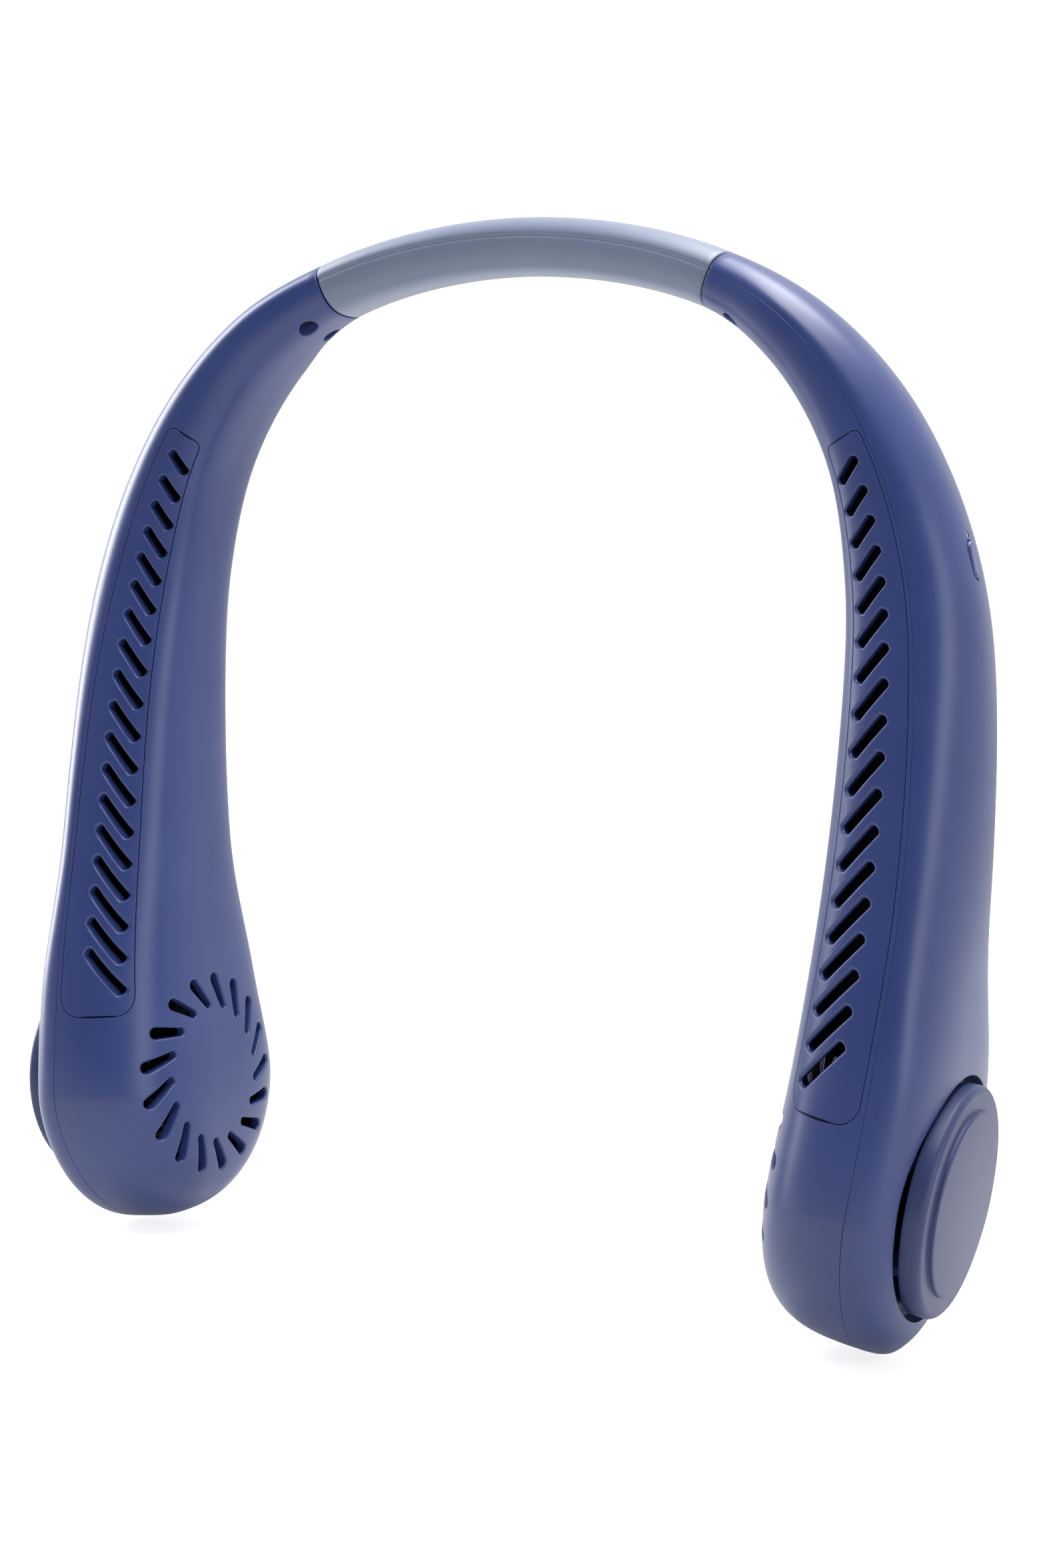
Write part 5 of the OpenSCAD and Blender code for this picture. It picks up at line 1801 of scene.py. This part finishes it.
@dataclass
class Neck:
    """The soft sleeve with the spring strip and the wires inside it."""

    bow: Bow
    half_len: float = 42.0
    wall: float = 2.2
    edge_round: float = 0.35
    line_depth: float = 0.24
    line_half: float = 0.3
    strip_reach: float = 53.3
    strip_half_w: float = 2.3
    strip_u: Tuple[float, float] = (-.65, .25)
    strip_edge: float = 0.1
    wire_reach: float = 57.3
    wire_count: int = 4
    wire_pitch: float = 1.15
    wire_u: float = -2.4
    wire_d: float = 1.0
    bend: Tuple[float, float] = (2.0, 41.0)

    def ring(self, s: float, cut: float, line: bool) -> np.ndarray:
        """Closed section of the sleeve with a fine parting line at front and back.

        Args:
            s: seam length.
            cut: how far it is drawn in.
            line: whether the parting line shows.

        Returns:
            Rows of u and v.
        """
        sizes = [float(x) for x in self.bow.sizes(np.array(s), cut)]
        fine = np.array([0, .0022, .006, .012, .02, .03])
        t = np.concatenate([fine, np.linspace(.05, .95, 40), 1 - fine[::-1]])
        inner, outer = (half_curve(half, t * math.pi, sizes, self.bow.powers(half, s))
                        for half in (Half.NECK, Half.OUTER))
        ring = np.concatenate([inner, outer[::-1][1:-1]])
        if line:
            groove = self.line_depth * np.exp(-(ring[:, 0] / self.line_half) ** 2)
            ring[:, 1] -= np.sign(ring[:, 1]) * groove
        return ring

    def sleeve_half(self, side: Side) -> bpy.types.Object:
        """One half of the sleeve, from the middle to the arm's mouth.

        Args:
            side: which arm's half it is.

        Returns:
            The piece.
        """
        straight, edge = self.half_len - self.edge_round, self.edge_round
        rows: List[Tuple[float, float]] = [(s, 0.0) for s in np.linspace(0, straight, 48)]
        for angle in (30, 60, 90):
            a = math.radians(angle)
            rows.append((self.half_len - edge * (1 - math.sin(a)), edge * (1 - math.cos(a))))
        rings = [self.bow.at(s, *self.ring(s, cut, True).T) for s, cut in rows]
        rings += [self.bow.at(s, *self.ring(s, self.wall, False).T)
                  for s in np.linspace(self.half_len, 0, 40)]
        faces = band_faces(len(rings), len(rings[0]), True)
        solid = Solid(np.concatenate(rings), faces).mirrored(side)
        return finished(solid.as_object(side.word + "_sleeve_half"), SLEEVE, "", 50)

    def strip_half(self, side: Side) -> bpy.types.Object:
        """One half of the spring strip.

        Args:
            side: which arm's half it is.

        Returns:
            The piece.
        """
        low, high = self.strip_u
        e, w = self.strip_edge, self.strip_half_w
        flat = [(low, e - w), (low + e, -w), (high - e, -w), (high, e - w), (high, w - e),
                (high - e, w), (low + e, w), (low, w - e)]
        rings = [self.bow.at(s, *np.array(flat).T) for s in np.linspace(0, self.strip_reach, 40)]
        solid = loft(rings).mirrored(side)
        return finished(solid.as_object(side.word + "_spring_half"), SPRING, "")

    def wires_half(self, side: Side) -> bpy.types.Object:
        """One half of the wires.

        Args:
            side: which arm's half it is.

        Returns:
            The piece.
        """
        solids = []
        for k in range(self.wire_count):
            middle = [self.wire_u, (k - (self.wire_count - 1) / 2) * self.wire_pitch]
            flat = (circle(self.wire_d / 2, 12) + middle).T
            solids.append(loft([self.bow.at(s, *flat) for s in np.linspace(0, self.wire_reach, 44)]))
        solid = solids[0].plus(*solids[1:]).mirrored(side)
        return finished(solid.as_object(side.word + "_wires_half"), RED, "")

    def build(self) -> None:
        """Makes both halves of each soft piece."""
        for make, node in ((self.sleeve_half, "neck_sleeve"), (self.strip_half, "spring_strip"),
                           (self.wires_half, "neck_harness")):
            for side in Side:
                piece = make(side)
                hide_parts(node)
                start, end = (self.bow.at(s, 0, 0) * MM * side.flip for s in self.bend)
                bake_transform(piece)


# Studio


@dataclass(frozen=True)
class SoftBox:
    """One soft light: where it hangs, what it faces, its size and its watts."""

    name: str
    place: Tuple[float, float, float]
    target: Tuple[float, float, float]
    size: Tuple[float, float]
    power: float

    def hang(self) -> None:
        """Puts the light in the scene."""
        data = bpy.data.lights.new(self.name, "AREA")
        data.shape, data.energy = "RECTANGLE", self.power
        data.size, data.size_y = self.size
        z = np.array(self.place, float) - np.array(self.target, float)
        z /= np.linalg.norm(z)
        x = np.cross([0, 0, 1], z)
        x /= np.linalg.norm(x)
        placed(self.name, data).matrix_world = standing((x, np.cross(z, x), z), self.place)


@dataclass
class Studio:
    """Camera, floor and soft light."""

    camera_place: Tuple[float, float, float] = (.218, -.4135, -.0654)
    turn: float = 27.23
    roll: float = 4.48
    rise: float = 4.24
    focal_px: float = 3666.0
    frame_height_px: float = 2352.0
    sensor_height: float = 36.0
    clip: Tuple[float, float] = (0.01, 20.0)
    floor_half: float = 6.0
    floor_drop: float = 0.001
    floor_grey: float = 0.6
    floor_glow: Tuple[float, float] = (0.55, 0.22)  # added to the camera's rays, and to all
    sky_range: Tuple[float, float] = (-0.75, 0.25)
    sky_front: Colour = (.07, .07, .08)
    sky_strength: float = 1.05
    lights: Tuple[SoftBox, ...] = (
        SoftBox("key_left", (-.72, .02, .15), (-.05, 0, -.1), (.35, .9), 9.5),
        SoftBox("top", (.12, .0, .6), (0, 0, -.05), (.8, .3), 9),
        SoftBox("right", (1.5, -.35, .15), (.05, 0, -.1), (.7, 1.2), 9))

    def camera(self) -> None:
        """Puts the camera where the photograph was taken from."""
        th, ro, al = (math.radians(a) for a in (self.turn, self.roll, self.rise))
        right, ahead, up = (np.array([math.cos(th), math.sin(th), 0]),
                            np.array([-math.sin(th), math.cos(th), 0]), np.array([0, 0, 1.0]))
        rows = np.array([math.cos(ro) * right + math.sin(ro) * up,
                         -math.sin(ro) * right + math.cos(ro) * up, ahead])
        tilt = np.array([[1, 0, 0], [0, math.cos(al), -math.sin(al)], [0, math.sin(al), math.cos(al)]])
        rows = rows @ tilt
        data = bpy.data.cameras.new("camera")
        data.sensor_fit, data.sensor_height = "VERTICAL", self.sensor_height
        data.lens = self.sensor_height * self.focal_px / self.frame_height_px
        data.clip_start, data.clip_end = self.clip
        obj = placed("camera", data)
        obj.matrix_world = standing((rows[0], rows[1], -rows[2]), self.camera_place)
        bpy.context.scene.camera = obj

    def floor(self) -> None:
        """Lays a pale plain floor, which looks brighter to the camera than it lights the object."""
        mesh = bpy.data.meshes.new("floor")
        size, z = self.floor_half, CAD_BOX[0][2] - self.floor_drop
        mesh.from_pydata([(-size, -size, z), (size, -size, z), (size, size, z), (-size, size, z)], [],
                         [(0, 1, 2, 3)])
        obj = placed("floor", mesh)
        paint = bpy.data.materials.new("pale_floor")
        paint.use_nodes = True
        tree = paint.node_tree
        shader = tree.nodes["Principled BSDF"]
        shader.inputs["Base Color"].default_value = (self.floor_grey,) * 3 + (1,)
        shader.inputs["Roughness"].default_value = 0.9
        shader.inputs["Emission Color"].default_value = (1, 1, 1, 1)
        seen = tree.nodes.new("ShaderNodeLightPath").outputs["Is Camera Ray"]
        tree.links.new(maths(tree, "MULTIPLY_ADD", seen, *self.floor_glow),
                       shader.inputs["Emission Strength"])
        mesh.materials.append(paint)

    def sky(self) -> None:
        """Surrounds the object with white; its front is darker, which only reflections show."""
        world = bpy.data.worlds.new("studio")
        bpy.context.scene.world = world
        world.use_nodes = True
        tree = world.node_tree
        node, link = tree.nodes.new, tree.links.new
        back = tree.nodes["Background"]
        where, split, ramp, mix = (node("ShaderNodeTexCoord"), node("ShaderNodeSeparateXYZ"),
                                   node("ShaderNodeMapRange"), node("ShaderNodeMix"))
        mix.data_type = "RGBA"
        ramp.inputs["From Min"].default_value, ramp.inputs["From Max"].default_value = self.sky_range
        link(where.outputs["Generated"], split.inputs[0])
        link(split.outputs["Y"], ramp.inputs["Value"])
        seen = node("ShaderNodeLightPath").outputs["Is Camera Ray"]
        link(maths(tree, "MAXIMUM", seen, ramp.outputs["Result"]), mix.inputs["Factor"])
        mix.inputs[6].default_value = (*self.sky_front, 1)
        mix.inputs[7].default_value = (1, 1, 1, 1)
        link(mix.outputs[2], back.inputs["Color"])
        back.inputs["Strength"].default_value = self.sky_strength

    def build(self) -> None:
        """Sets up the whole studio."""
        self.camera()
        self.floor()
        self.sky()
        for light in self.lights:
            light.hang()
        bpy.context.scene.view_settings.view_transform = "Standard"


def dress_cad_nodes() -> None:
    """Gives every CAD node its slot's finish."""
    for row in frame["record"]["subparts"]:
        obj = frame["nodes"][row["node"]]
        finish = SLOT_FINISH[row["material_slot"]]
        for slot in obj.material_slots:
            slot.material = finish.material()


def main() -> None:
    """Builds the object and the studio."""
    logging.basicConfig(level=logging.INFO, format="%(name)s: %(message)s")
    Studio().build()
    dress_cad_nodes()
    bow = Bow()
    key, port = PowerKey(bow), ChargePort(bow)
    Neck(bow).build()
    for side in Side:
        cap = IntakeCap(bow, side)
        MouldedArm(bow, side).build(cap, key, port)
        cap.build()
        Impeller(cap).build()
    key.build()
    port.build()


if __name__ == "__main__":
    main()
